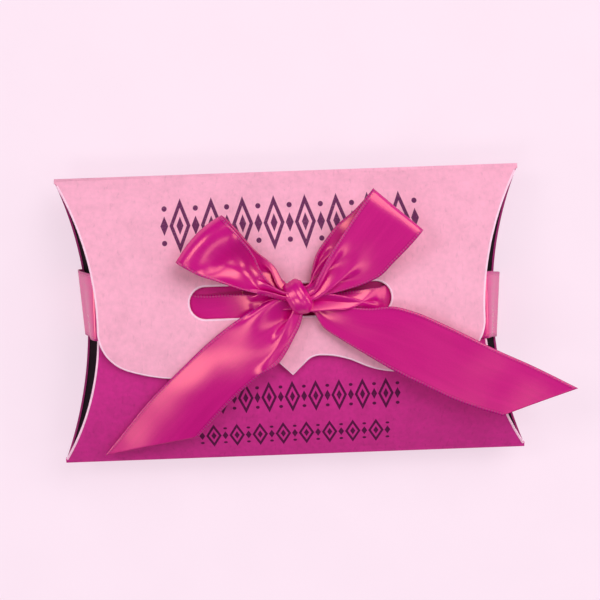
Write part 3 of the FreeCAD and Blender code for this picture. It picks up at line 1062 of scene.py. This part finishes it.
@dataclass
class BoxBand(RibbonStretch):
    """Stretch round the box: from under the flap over one end, along the back and up the other end.

    The points of its bends are pairs of a distance outwards and a height.
    """

    middle: float = 2.2
    tilt: float = -0.029
    inner_end: float = 9.0
    lift: float = 0.16
    edge_reach: float = 37.75
    back_reach: float = 41.0
    lean: float = 0.45
    right_drift: float = 1.2
    upper_bend: tuple[tuple[float, float], ...] = ((-8.0, 0.0), (-1.1, 0.0), (-0.25, -0.28), (0.12, -1.1))
    half_way: tuple[float, float] = (-1.4, 0.9)
    lower_bend: tuple[tuple[float, float], ...] = ((0.0, 1.1), (-0.02, 0.4), (-0.5, 0.0), (-1.6, 0.0))
    back_share: float = 1.0 / 3.0
    lines: dict[float, SmoothLine] = field(init=False, default_factory=dict)

    @property
    def length(self) -> float:
        """Flat length, along the middle of the ribbon."""
        return self.line(0.0).length

    def line(self, across: float) -> SmoothLine:
        """Line round the box at one place across the ribbon.

        Args:
            across: Share of the half width, from -1 to 1.

        Returns:
            The line.
        """
        key = round(across, 4)
        if key not in self.lines:
            left, right = (self.quarter(across, side) for side in (-1.0, 1.0))
            self.lines[key] = SmoothLine(left + right[::-1])
        return self.lines[key]

    def quarter(self, across: float, side: float) -> list[Vector]:
        """Points from under the flap to near the middle of the back, on one side.

        Args:
            across: Share of the half width, from -1 to 1.
            side: -1 for the left of the box, 1 for the right.

        Returns:
            The points.
        """
        floor = self.thickness / 2.0 - self.sizes.crease_height
        middle = self.middle + across * self.width / 2.0
        y_end = middle + self.tilt * side * self.edge_reach
        y_start = middle + self.tilt * side * self.inner_end
        y_low = y_end - (self.right_drift if side > 0.0 else 0.0)
        offset = self.sizes.card / 2.0 + self.lift
        top = self.sizes.bow_height(self.sizes.front_rise, y_end, offset)
        start = self.sizes.bow_height(self.sizes.front_rise, y_start, offset)
        low_reach = self.back_reach + self.lean * across
        out, height = self.half_way
        spots = [(self.inner_end, y_start, start)]
        spots += [(self.edge_reach + reach, y_end, top + rise) for reach, rise in self.upper_bend]
        spots.append((low_reach + out, (y_end + y_low) / 2.0, height))
        spots += [(low_reach + reach, y_low, floor + rise) for reach, rise in self.lower_bend]
        spots.append((low_reach * self.back_share, middle, floor))
        return [Vector((side * reach, place, rise)) for reach, place, rise in spots]

    def lay(self, along: float, across: float) -> Vector:
        """Place of a point of the flat ribbon.

        Args:
            along: Share of the length, from 0 to 1.
            across: Share of the half width, from -1 to 1.

        Returns:
            The point over the crease plane, in millimetres.
        """
        return self.line(across).at(along)


@dataclass
class Bow:
    """Knot, two loops, two tails and the two strands that come up through the slot."""

    sizes: BoxSizes
    knot_name: str = "bow_knot_wrap"
    knot_middle: Point = (1.4, 4.3, 13.1)
    knot_half_length: float = 2.0
    knot_half_width: float = 2.6
    knot_half_height: float = 2.0
    knot_turn: float = 30.0
    ring_points: int = 13
    ring_start: float = 250.0
    ring_step: float = 29.0

    def build(self, maker: PieceMaker, satin: bpy.types.Material) -> None:
        """Build every stretch of the bow.

        Args:
            maker: Maker of pieces.
            satin: Ribbon finish.
        """
        stretches = (
            self.left_strand(),
            self.right_strand(),
            self.left_tail(),
            self.right_tail(),
            self.left_loop(),
            self.right_loop(),
            self.knot(),
        )
        for stretch in stretches:
            stretch.build(maker, satin)

    def stretch(self, node: str, held: Held, rests_on: tuple[str, ...], **shape: object) -> TiedStretch:
        """Stretch of the bow that stands for one node and is named after it.

        Args:
            node: Node that it stands for.
            held: How it is held.
            rests_on: Nodes and pieces that carry it.
            shape: Its edge lines, pleats and bends.

        Returns:
            The stretch.
        """
        return TiedStretch(f"{node}_ribbon", Body.FLAP, held, (node,), rests_on, self.sizes, **shape)

    def ring(self, side: float) -> tuple[Point, ...]:
        """Edge of the knot's wrap on one side, round the necks of the loops.

        Args:
            side: -1 for the left edge, 1 for the right.

        Returns:
            The points of the edge.
        """
        turn = Matrix.Rotation(math.radians(self.knot_turn), 3, "Z")
        spots = []
        for step in range(self.ring_points):
            angle = math.radians(self.ring_start - step * self.ring_step)
            spot = Vector((
                side * self.knot_half_length,
                self.knot_half_width * math.cos(angle),
                self.knot_half_height * math.sin(angle),
            ))
            spots.append(tuple(Vector(self.knot_middle) + turn @ spot))
        return tuple(spots)

    def knot(self) -> RolledWrap:
        """Short rolled wrap round the middle of the bow.

        Returns:
            The stretch.
        """
        return RolledWrap(
            name=self.knot_name,
            body=Body.FLAP,
            held=Held.GATHERED,
            stands_for=("bow_knot",),
            rests_on=("closing_flap",),
            sizes=self.sizes,
            step=0.25,
            rows=64,
            first_edge=self.ring(-1.0),
            second_edge=self.ring(1.0),
            cup=0.8,
            ripple=0.3,
        )

    def left_loop(self) -> TiedStretch:
        """Loop that points up and to the left, hollow behind the rim of its round fold.

        Returns:
            The stretch.
        """
        return self.stretch(
            "bow_left_loop",
            Held.FOLDED,
            (self.knot_name,),
            first_edge=(
                (1.4, 3.6, 13.6), (-0.9, 3.7, 14.0), (-4.2, 4.7, 14.3), (-9.0, 6.1, 14.1),
                (-13.8, 7.9, 14.3), (-17.2, 9.2, 15.2), (-19.4, 10.4, 15.0), (-20.9, 11.3, 14.2),
                (-21.4, 11.6, 13.0), (-20.5, 11.1, 11.8), (-16.8, 9.6, 11.3), (-10.0, 7.6, 11.2),
                (-4.4, 5.6, 11.8), (-1.0, 4.0, 12.4), (1.4, 3.6, 12.6),
            ),
            second_edge=(
                (1.4, 5.2, 13.8), (-0.9, 5.3, 14.6), (-3.4, 6.9, 14.8), (-5.3, 9.3, 14.4),
                (-6.7, 12.5, 14.2), (-8.9, 15.8, 15.1), (-10.6, 18.0, 15.0), (-12.0, 19.6, 14.2),
                (-12.5, 20.2, 13.0), (-11.6, 19.5, 11.8), (-9.6, 17.3, 11.3), (-6.4, 13.4, 11.2),
                (-2.8, 10.1, 11.7), (-0.8, 6.6, 12.6), (1.4, 5.2, 13.0),
            ),
            two_necks=True,
            pleats_hold=0.15,
            pleats_end=0.44,
            belly=0.9,
            hollow=2.0,
        )

    def right_loop(self) -> TiedStretch:
        """Loop that points up and to the right, with a sharper fold.

        Returns:
            The stretch.
        """
        return self.stretch(
            "bow_right_loop",
            Held.FOLDED,
            (self.knot_name,),
            first_edge=(
                (1.6, 5.4, 13.8), (4.2, 6.2, 14.2), (5.3, 8.2, 14.9), (7.7, 12.4, 15.8),
                (10.1, 15.9, 16.1), (13.1, 20.2, 16.1), (15.5, 23.45, 15.9), (16.05, 24.2, 15.5),
                (16.1, 24.3, 14.9), (15.9, 24.0, 14.4), (15.0, 22.9, 13.8), (12.0, 19.8, 12.3),
                (9.3, 17.6, 11.2), (6.9, 14.7, 11.2), (5.2, 12.2, 11.5), (4.2, 8.9, 12.2),
                (3.6, 6.6, 12.7), (1.6, 5.4, 13.0),
            ),
            second_edge=(
                (1.6, 3.8, 13.6), (4.6, 4.2, 13.7), (10.4, 5.4, 14.0), (13.7, 6.3, 14.1),
                (17.0, 7.8, 14.3), (19.6, 10.3, 14.7), (22.6, 13.2, 15.1), (24.7, 15.45, 15.2),
                (25.25, 16.1, 14.9), (25.3, 16.2, 14.4), (25.1, 15.9, 13.9), (24.2, 14.9, 13.3),
                (20.5, 11.4, 12.0), (15.0, 8.4, 11.3), (9.0, 6.2, 11.7), (4.4, 4.4, 12.3),
                (1.6, 3.8, 12.6),
            ),
            two_necks=True,
            pleat_phase=0.8,
            pleats_hold=0.15,
            pleats_end=0.62,
        )

    def left_tail(self) -> TiedStretch:
        """Tail that falls down and to the left over the flap's edge, cut on the slant.

        Returns:
            The stretch.
        """
        return self.stretch(
            "bow_left_tail",
            Held.DRAPED,
            (self.knot_name, "closing_flap"),
            first_edge=(
                (1.6, 3.0, 12.0), (1.9, 0.7, 12.3), (0.0, -3.8, 12.3), (-2.8, -8.1, 11.9),
                (-6.6, -10.8, 11.2), (-10.8, -14.3, 9.9), (-13.6, -17.1, 8.8), (-18.2, -22.1, 6.7),
                (-24.0, -28.0, 4.3), (-29.7, -33.6, 2.0),
            ),
            second_edge=(
                (1.0, 4.0, 12.0), (-3.4, 3.6, 12.6), (-6.7, 2.4, 12.8), (-10.2, 0.3, 12.5),
                (-15.7, -3.8, 11.6), (-21.3, -8.9, 10.3), (-27.0, -14.4, 8.2), (-32.8, -21.1, 5.2),
                (-37.0, -26.1, 3.0),
            ),
            slant=-16.3,
            pleats=3,
            pleats_hold=0.06,
            pleats_end=0.3,
            cup=0.35,
            curl=-1.5,
            curl_end=0.36,
        )

    def right_tail(self) -> TiedStretch:
        """Tail that runs down and to the right past the end of the box, cut on the slant.

        Returns:
            The stretch.
        """
        return self.stretch(
            "bow_right_tail",
            Held.DRAPED,
            (self.knot_name, "closing_flap"),
            first_edge=(
                (1.8, 4.2, 12.0), (4.1, 3.4, 12.1), (9.7, 2.2, 12.3), (15.0, 1.6, 12.5),
                (19.3, 1.8, 12.7), (23.5, 0.6, 12.7), (29.2, -2.1, 12.4), (34.5, -4.9, 12.0),
                (39.1, -7.4, 11.5), (45.2, -10.4, 10.8), (54.4, -15.4, 9.9),
            ),
            second_edge=(
                (1.8, 3.2, 12.0), (4.0, 1.6, 12.0), (6.0, -1.7, 11.9), (9.5, -4.3, 11.9),
                (14.7, -7.7, 12.0), (18.9, -10.4, 11.9), (25.3, -13.9, 11.6), (30.7, -16.7, 11.2),
                (36.0, -18.8, 10.8), (39.2, -19.9, 10.6), (45.0, -22.8, 10.0), (50.0, -25.4, 9.5),
            ),
            slant=11.7,
            pleats=2,
            pleat_phase=0.4,
            pleats_hold=0.05,
            pleats_end=0.24,
            gather=0.12,
            cup=0.05,
        )

    def left_strand(self) -> TiedStretch:
        """Strand that comes from under the flap at the slot's left end and rises to the knot.

        Returns:
            The stretch.
        """
        return self.stretch(
            "left_slot_strand",
            Held.GATHERED,
            ("closing_flap",),
            first_edge=(
                (0.6, 3.2, 12.0), (-2.4, 2.5, 11.5), (-4.8, 1.7, 10.9), (-6.6, 0.7, 10.2),
                (-8.0, -0.5, 9.86), (-10.2, -2.2, 9.80), (-14.0, -3.8, 9.70), (-18.8, -4.4, 9.65),
                (-22.6, -4.4, 9.65),
            ),
            second_edge=(
                (0.6, 4.2, 12.2), (-4.0, 4.4, 11.4), (-8.5, 4.9, 10.5), (-12.5, 5.0, 9.98),
                (-16.0, 4.9, 9.75), (-18.5, 5.2, 9.50), (-20.2, 6.2, 9.35), (-22.6, 8.2, 9.08),
            ),
            pleats=3,
            pleats_up=True,
            pleats_end=0.38,
            gather=0.95,
            ripple=0.0,
        )

    def right_strand(self) -> TiedStretch:
        """Strand that comes from under the flap at the slot's right end and rises to the knot.

        Returns:
            The stretch.
        """
        return self.stretch(
            "right_slot_strand",
            Held.GATHERED,
            ("closing_flap",),
            first_edge=(
                (2.2, 4.2, 12.3), (7.0, 4.6, 12.0), (11.5, 5.0, 11.6), (15.2, 5.3, 10.9),
                (17.2, 5.4, 10.1), (18.3, 5.8, 9.5), (22.6, 8.2, 9.08),
            ),
            second_edge=(
                (2.2, 3.2, 12.1), (7.0, 2.2, 11.7), (11.5, 1.0, 11.1), (14.8, 0.6, 10.4),
                (16.6, 0.2, 9.88), (18.6, -1.8, 9.81), (22.6, -4.4, 9.65),
            ),
            pleats=2,
            pleats_up=True,
            pleats_hold=0.35,
            pleats_end=0.72,
            gather=0.9,
            ripple=0.0,
        )


@dataclass
class CutEdge:
    """Pale round bead along a cut edge of card, mostly sunk into the card."""

    name: str
    plan: list[Vector]
    rise: float
    body: Body
    slot: Slot
    sizes: BoxSizes
    closed: bool = False
    radius: float = 0.275
    inset: float = 0.06
    roundness: int = 4

    def sunk(self) -> list[Vector]:
        """The edge in plan, moved into the card, which lies on the right of the way along it.

        Returns:
            The points.
        """
        count = len(self.plan)
        moved = []
        for index, spot in enumerate(self.plan):
            before = self.plan[index - 1] if index or self.closed else spot
            after = self.plan[(index + 1) % count] if index < count - 1 or self.closed else spot
            way = (after - before).normalized()
            moved.append(spot + Vector((way.y, -way.x)) * self.inset)
        return moved

    def build(self, maker: PieceMaker, material: bpy.types.Material) -> bpy.types.Object:
        """Draw the bead on the bowed card.

        Args:
            maker: Maker of pieces.
            material: Finish of the cut.

        Returns:
            The piece.
        """
        curve = bpy.data.curves.new(self.name, "CURVE")
        curve.dimensions = "3D"
        curve.bevel_depth = self.radius * MM
        curve.bevel_resolution = self.roundness
        curve.use_fill_caps = True
        spline = curve.splines.new("POLY")
        spline.points.add(len(self.plan) - 1)
        spline.use_cyclic_u = self.closed
        for dot, spot in zip(spline.points, self.sunk()):
            height = self.sizes.bow_height(self.rise, spot.y)
            dot.co = (*self.sizes.world(Vector((spot.x, spot.y, height))), 1.0)
        holder = bpy.data.objects.new(f"{self.name}_line", curve)
        bpy.context.scene.collection.objects.link(holder)
        mesh = bpy.data.meshes.new_from_object(holder.evaluated_get(bpy.context.evaluated_depsgraph_get()))
        bpy.data.objects.remove(holder)
        mesh.name = self.name
        return maker.add(self.name, mesh, material, self.body, self.slot)


@dataclass
class Fold:
    """Rounded edge where two panels of the card turn into each other at a crease."""

    name: str
    crease: float
    rise: float
    body: Body
    slot: Slot
    sizes: BoxSizes
    reach: float = 0.6
    radius: float = 0.245
    end_gap: float = 0.1
    bevel_share: float = 0.98
    bevel_steps: int = 6

    def build(self, maker: PieceMaker, material: bpy.types.Material) -> bpy.types.Object:
        """Round a bar off and lay it from the crease up the panel.

        Args:
            maker: Maker of pieces.
            material: Finish of the panel.

        Returns:
            The piece.
        """
        inward = -1.0 if self.crease > 0.0 else 1.0
        lean = math.asin(self.sizes.height / 2.0 / arc_radius(self.sizes.height / 2.0, abs(self.rise)))
        lean *= math.copysign(1.0, self.rise) * inward
        bar = bmesh.new()
        bmesh.ops.create_cube(bar, size=1.0)
        wide = self.reach + 2.0 * self.radius
        size = (self.sizes.length - 2.0 * self.end_gap, wide, 2.0 * self.radius)
        bmesh.ops.scale(bar, vec=size, verts=bar.verts)
        bmesh.ops.bevel(
            bar,
            geom=[edge for edge in bar.edges if edge.calc_length() > 2.0 * wide],
            offset=self.radius * self.bevel_share,
            segments=self.bevel_steps,
            profile=0.5,
            affect="EDGES",
            material=-1,
        )
        bmesh.ops.translate(bar, vec=(0.0, inward * self.reach / 2.0, 0.0), verts=bar.verts)
        bmesh.ops.rotate(bar, cent=(0.0, 0.0, 0.0), matrix=Matrix.Rotation(lean, 3, "X"), verts=bar.verts)
        for vert in bar.verts:
            vert.co = self.sizes.world(vert.co + Vector((0.0, self.crease, 0.0)))
        mesh = bpy.data.meshes.new(self.name)
        bar.to_mesh(mesh)
        bar.free()
        return maker.add(self.name, mesh, material, self.body, self.slot)


@dataclass
class CardShell:
    """Folded card blank: dresses the panels, rounds their folds and adds their cut edges."""

    sizes: BoxSizes
    tip: float = 10.8
    tip_run: float = 2.8
    notch_rise: float = 3.7
    notch_reach: float = 5.2
    lobe_reach: float = 20.5
    lobe_radius: float = 33.0
    corner_radius: float = 8.0
    slot_length: float = 38.8
    slot_width: float = 6.5
    slot_middle: float = 3.5
    arc_step: float = 0.7
    arc_least: int = 4
    end_gap: float = 0.6
    end_steps: int = 60
    crease_gap: float = 0.8

    def dress(self, node: str, material: bpy.types.Material) -> None:
        """Give a card node its finish.

        Args:
            node: Name of the node.
            material: Its finish.
        """
        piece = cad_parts[node]
        piece.data.materials.clear()
        piece.data.materials.append(material)
        LOG.info("%s: dressed in %s", node, material.name)

    def arc(self, start: Vector, end: Vector, radius: float, bend: Bend) -> list[Vector]:
        """Points along an arc of an outline, without its start.

        Args:
            start: Where the arc starts, in plan.
            end: Where it ends.
            radius: Its radius.
            bend: Which way round it runs.

        Returns:
            The points.
        """
        chord = end - start
        left = Vector((-chord.y, chord.x)).normalized()
        lift = math.sqrt(max(radius ** 2 - chord.length_squared / 4.0, 0.0))
        centre = (start + end) / 2.0 + left * lift * bend.value
        sweep = 2.0 * math.asin(min(chord.length / (2.0 * radius), 1.0)) * bend.value
        steps = max(int(abs(sweep) * radius / self.arc_step), self.arc_least)
        arm = start - centre
        return [centre + Matrix.Rotation(sweep * step / steps, 2) @ arm for step in range(1, steps + 1)]

    def flap_outline(self) -> list[Vector]:
        """Free edge of the closing flap in plan, from its top right corner round to its top left one.

        Returns:
            The points.
        """
        half_length, half_height = self.sizes.length / 2.0, self.sizes.height / 2.0
        end_x = half_length - self.sizes.front_recess
        share = (end_x - self.corner_radius - self.lobe_reach) / (self.lobe_radius - self.corner_radius)
        fall = math.sqrt(1.0 - share ** 2)
        end_y = -self.tip + self.lobe_radius - (self.lobe_radius - self.corner_radius) * fall
        swell = arc_radius((self.lobe_reach - self.notch_reach) / 2.0, self.notch_rise / 2.0)
        arch = arc_radius(self.notch_reach - self.tip_run, self.notch_rise - self.tip_run)
        hollow = arc_radius(half_height, self.sizes.front_recess)
        blend = (end_x - self.corner_radius * (1.0 - share), end_y - self.corner_radius * fall)
        swell_middle = ((self.notch_reach + self.lobe_reach) / 2.0, self.notch_rise / 2.0 - self.tip)
        corners = (
            ((end_x, end_y), hollow, Bend.ANTICLOCKWISE),
            (blend, self.corner_radius, Bend.CLOCKWISE),
            ((self.lobe_reach, -self.tip), self.lobe_radius, Bend.CLOCKWISE),
            (swell_middle, swell, Bend.CLOCKWISE),
            ((self.notch_reach, self.notch_rise - self.tip), swell, Bend.ANTICLOCKWISE),
            ((self.tip_run, self.tip_run - self.tip), arch, Bend.ANTICLOCKWISE),
        )
        line = [Vector((half_length, half_height))]
        for spot, radius, bend in corners:
            line += self.arc(line[-1], Vector(spot), radius, bend)
        mirrored = [Vector((-spot.x, spot.y)) for spot in reversed(line)]
        return [*line, Vector((0.0, -self.tip)), *mirrored]

    def slot_outline(self) -> list[Vector]:
        """Edge of the long slot in plan, with the card on the right of the way round.

        Returns:
            The points.
        """
        half = self.slot_width / 2.0
        straight = self.slot_length / 2.0 - half
        low, high = self.slot_middle - half, self.slot_middle + half
        line = [Vector((straight, low))]
        line += self.arc(line[-1], Vector((straight, high)), half, Bend.ANTICLOCKWISE)
        line.append(Vector((-straight, high)))
        line += self.arc(line[-1], Vector((-straight, low)), half, Bend.ANTICLOCKWISE)
        return line

    def end_outline(self, side: float) -> list[Vector]:
        """Hollow end edge of the front panel in plan, with the card on the right of the way along.

        Args:
            side: -1 for the left end, 1 for the right.

        Returns:
            The points.
        """
        low, top = self.end_gap - self.sizes.height / 2.0, self.sizes.mouth
        places = [low + (top - low) * step / self.end_steps for step in range(self.end_steps + 1)]
        if side > 0.0:
            places.reverse()
        recess = self.sizes.front_recess
        return [Vector((side * self.sizes.end_edge(recess, place), place)) for place in places]

    def lay_edges(self, maker: PieceMaker, cut: bpy.types.Material) -> None:
        """Lay the beads of the cut edges that show.

        Args:
            maker: Maker of pieces.
            cut: Finish of the cut.
        """
        sizes = self.sizes
        free = [spot for spot in self.flap_outline() if spot.y < sizes.height / 2.0 - self.crease_gap]
        flap = {"rise": sizes.flap_rise, "body": Body.FLAP, "slot": Slot.FLAP_CARD, "sizes": sizes}
        front = {"rise": sizes.front_rise, "body": Body.BOX, "slot": Slot.FRONT_CARD, "sizes": sizes}
        edges = (
            CutEdge("flap_cut_edge", free, **flap),
            CutEdge("slot_cut_edge", self.slot_outline(), closed=True, **flap),
            CutEdge("front_left_cut_edge", self.end_outline(-1.0), **front),
            CutEdge("front_right_cut_edge", self.end_outline(1.0), **front),
        )
        for edge in edges:
            edge.build(maker, cut)

    def lay_folds(self, maker: PieceMaker, pale: bpy.types.Material, deep: bpy.types.Material) -> None:
        """Round the two creases off, each from both of its panels.

        Args:
            maker: Maker of pieces.
            pale: Finish of the flap.
            deep: Finish of the front and back.
        """
        sizes = self.sizes
        top, bottom = sizes.height / 2.0, -sizes.height / 2.0
        flap_fold = Fold("flap_fold", top, sizes.flap_rise, Body.FLAP, Slot.FLAP_CARD, sizes)
        back_fold = Fold("back_fold", top, -sizes.back_rise, Body.BOX, Slot.FLAP_CARD, sizes)
        front_fold = Fold("front_fold", bottom, sizes.front_rise, Body.BOX, Slot.FRONT_CARD, sizes)
        under_fold = Fold("under_fold", bottom, -sizes.back_rise, Body.BOX, Slot.FRONT_CARD, sizes)
        flap_fold.build(maker, pale)
        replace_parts(back_fold.build(maker, pale), "top_crease")
        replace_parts(front_fold.build(maker, deep), "bottom_crease")
        under_fold.build(maker, deep)

    def build(self, maker: PieceMaker, finishes: dict[str, bpy.types.Material]) -> None:
        """Dress the panels and lay their folds and cut edges.

        Args:
            maker: Maker of pieces.
            finishes: Materials by name.
        """
        pale, deep = finishes["pale_pink_card"], finishes["deep_pink_card"]
        self.dress("closing_flap", pale)
        self.dress("front_panel", deep)
        self.dress("back_panel", finishes["back_pink_card"])
        # Painted shade: the end flaps are coloured near-black to stand in for the deep shadow inside the
        # hollow ends of the box.
        for side in ("left", "right"):
            self.dress(f"{side}_outer_end_flap", finishes["end_flap_painted_shade"])
            self.dress(f"{side}_inner_end_flap", finishes["end_flap_painted_shade"])
        self.lay_folds(maker, pale, deep)
        self.lay_edges(maker, finishes["cut_card_edge"])


@dataclass(frozen=True)
class PhotoCamera:
    """Camera in the photographer's place, nearly straight over the box."""

    pitch: float = 4.95
    yaw: float = 0.62
    roll: float = 1.99
    offset: Point = (-1.82, -2.64, -423.34)
    focal_pixels: float = 2171.4
    image_pixels: float = 600.0
    sensor: float = 36.0
    nearest: float = 0.01
    farthest: float = 20.0

    def build(self, sizes: BoxSizes) -> None:
        """Set the camera up.

        Args:
            sizes: Sizes of the box, for the height of its creases.
        """
        turns = ((self.roll, "Z"), (self.pitch, "X"), (self.yaw, "Y"))
        spin = Matrix.Identity(3)
        for angle, axis in turns:
            spin = spin @ Matrix.Rotation(math.radians(angle), 3, axis)
        back = spin.transposed()
        data = bpy.data.cameras.new("photo_camera")
        data.sensor_width = self.sensor
        data.lens = self.sensor * self.focal_pixels / self.image_pixels
        data.clip_start = self.nearest
        data.clip_end = self.farthest
        camera = bpy.data.objects.new("photo_camera", data)
        camera.matrix_world = Matrix.Translation(sizes.world(-(back @ Vector(self.offset)))) @ back.to_4x4()
        bpy.context.scene.collection.objects.link(camera)
        bpy.context.scene.camera = camera


@dataclass(frozen=True)
class Lamp:
    """One soft oblong lamp of the studio, in metres and watts, its wide side level."""

    name: str
    place: Point
    wide: float
    tall: float
    power: float

    def build(self) -> None:
        """Hang the lamp and aim it at the box."""
        data = bpy.data.lights.new(self.name, "AREA")
        data.shape = "RECTANGLE"
        data.size = self.wide
        data.size_y = self.tall
        data.energy = self.power
        lamp = bpy.data.objects.new(self.name, data)
        spot = Vector(self.place)
        lamp.matrix_world = Matrix.Translation(spot) @ spot.to_track_quat("Z", "Y").to_matrix().to_4x4()
        bpy.context.scene.collection.objects.link(lamp)


@dataclass(frozen=True)
class Studio:
    """Pale floor, soft lamps and an even room."""

    floor_half: float = 3.0
    room_strength: float = 0.10
    lamps: tuple[Lamp, ...] = (
        Lamp("key_lamp", (0.36, 0.44, 0.70), 0.6, 0.6, 5.0),
        Lamp("low_left_lamp", (-0.28, -0.36, 0.72), 0.24, 0.32, 1.2),
        Lamp("left_lamp", (-0.46, 0.26, 0.70), 0.30, 0.26, 1.5),
        Lamp("low_right_lamp", (0.28, -0.38, 0.70), 0.30, 0.20, 0.5),
        Lamp("right_lamp", (0.66, -0.05, 0.50), 0.36, 0.12, 0.7),
        Lamp("left_side_lamp", (-0.86, -0.04, 0.17), 0.30, 0.24, 2.0),
        Lamp("right_side_lamp", (0.86, -0.04, 0.17), 0.30, 0.24, 1.3),
    )

    def build(self, floor: bpy.types.Material, room_colour: Colour) -> None:
        """Lay the floor, hang the lamps and light the room.

        Args:
            floor: Finish of the floor.
            room_colour: Colour that the camera sees beyond the floor.
        """
        plane = bmesh.new()
        bmesh.ops.create_grid(plane, x_segments=2, y_segments=2, size=self.floor_half)
        mesh = bpy.data.meshes.new("floor")
        plane.to_mesh(mesh)
        plane.free()
        mesh.materials.append(floor)
        ground = bpy.data.objects.new("floor", mesh)
        bpy.context.scene.collection.objects.link(ground)
        for lamp in self.lamps:
            lamp.build()
        self.light_room(room_colour)

    def light_room(self, colour: Colour) -> None:
        """Light the room evenly, and show the floor's colour beyond the floor.

        Args:
            colour: Colour that the camera sees.
        """
        world = bpy.data.worlds.new("room")
        world.use_nodes = True
        graph = ShaderGraph(world.node_tree)
        nodes = world.node_tree.nodes
        even = nodes["Background"]
        even.inputs["Color"].default_value = (1.0, 1.0, 1.0, 1.0)
        even.inputs["Strength"].default_value = self.room_strength
        seen = graph.node("ShaderNodeBackground")
        seen.inputs["Color"].default_value = (*colour, 1.0)
        light_path = graph.node("ShaderNodeLightPath").outputs
        blend = graph.node("ShaderNodeMixShader")
        graph.feed(blend.inputs[0], light_path["Is Camera Ray"])
        graph.feed(blend.inputs[1], even.outputs["Background"])
        graph.feed(blend.inputs[2], seen.outputs["Background"])
        graph.feed(nodes["World Output"].inputs["Surface"], blend.outputs["Shader"])
        bpy.context.scene.world = world


PLUM_INK: Colour = (0.115, 0.012, 0.085)
CARD_FINISHES = (
    CardFinish(
        "pale_pink_card",
        colour=(0.93, 0.415, 0.575),
        mottle=0.42,
        ink=PLUM_INK,
        rise=BoxSizes.flap_rise,
        rows=(PrintedRow(middle=(0.4, 18.2), half_length=24.8, pitch=6.0, half_height=5.2),),
    ),
    CardFinish(
        "deep_pink_card",
        colour=(0.60, 0.025, 0.25),
        mottle=0.6,
        ink=(0.075, 0.002, 0.045),
        rows=(
            PrintedRow(middle=(2.0, -15.4), half_length=18.6, pitch=4.5, half_height=3.2),
            PrintedRow(middle=(0.0, -23.0), half_length=18.6, pitch=4.5, half_height=2.4),
        ),
    ),
    CardFinish("back_pink_card", colour=(0.47, 0.032, 0.20), mottle=0.6),
    # Near-black painted shade for the end flaps, standing in for the shadow inside the hollow ends.
    CardFinish("end_flap_painted_shade", colour=(0.006, 0.001, 0.004), mottle=0.5, gloss=0.02),
    CardFinish("cut_card_edge", colour=(0.98, 0.64, 0.80), mottle=0.2),
)


def main() -> None:
    """Build the finishes, the card, the ribbon, the studio and the camera."""
    logging.basicConfig(level=logging.INFO, format="%(name)s: %(message)s")
    bpy.context.scene.view_settings.view_transform = "Standard"
    fibre, band, weave = CardFibre(), LozengeBand(), SatinWeave()
    sizes = BoxSizes()
    cards = {finish.name: finish.make(fibre, band, sizes) for finish in CARD_FINISHES}
    satin = SatinFinish().make(weave)
    floor = FloorFinish()
    maker = PieceMaker()
    CardShell(sizes).build(maker, cards)
    BoxBand(
        name="ribbon_band",
        body=Body.BOX,
        held=Held.STRETCHED,
        stands_for=(
            "ribbon_back_run",
            "ribbon_left_end_run",
            "ribbon_right_end_run",
            "ribbon_front_left_run",
            "ribbon_front_right_run",
        ),
        rests_on=("back_panel", "front_panel"),
        sizes=sizes,
    ).build(maker, satin)
    Bow(sizes).build(maker, satin)
    Studio().build(floor.make(), floor.colour)
    PhotoCamera().build(sizes)


if __name__ == "__main__":
    main()
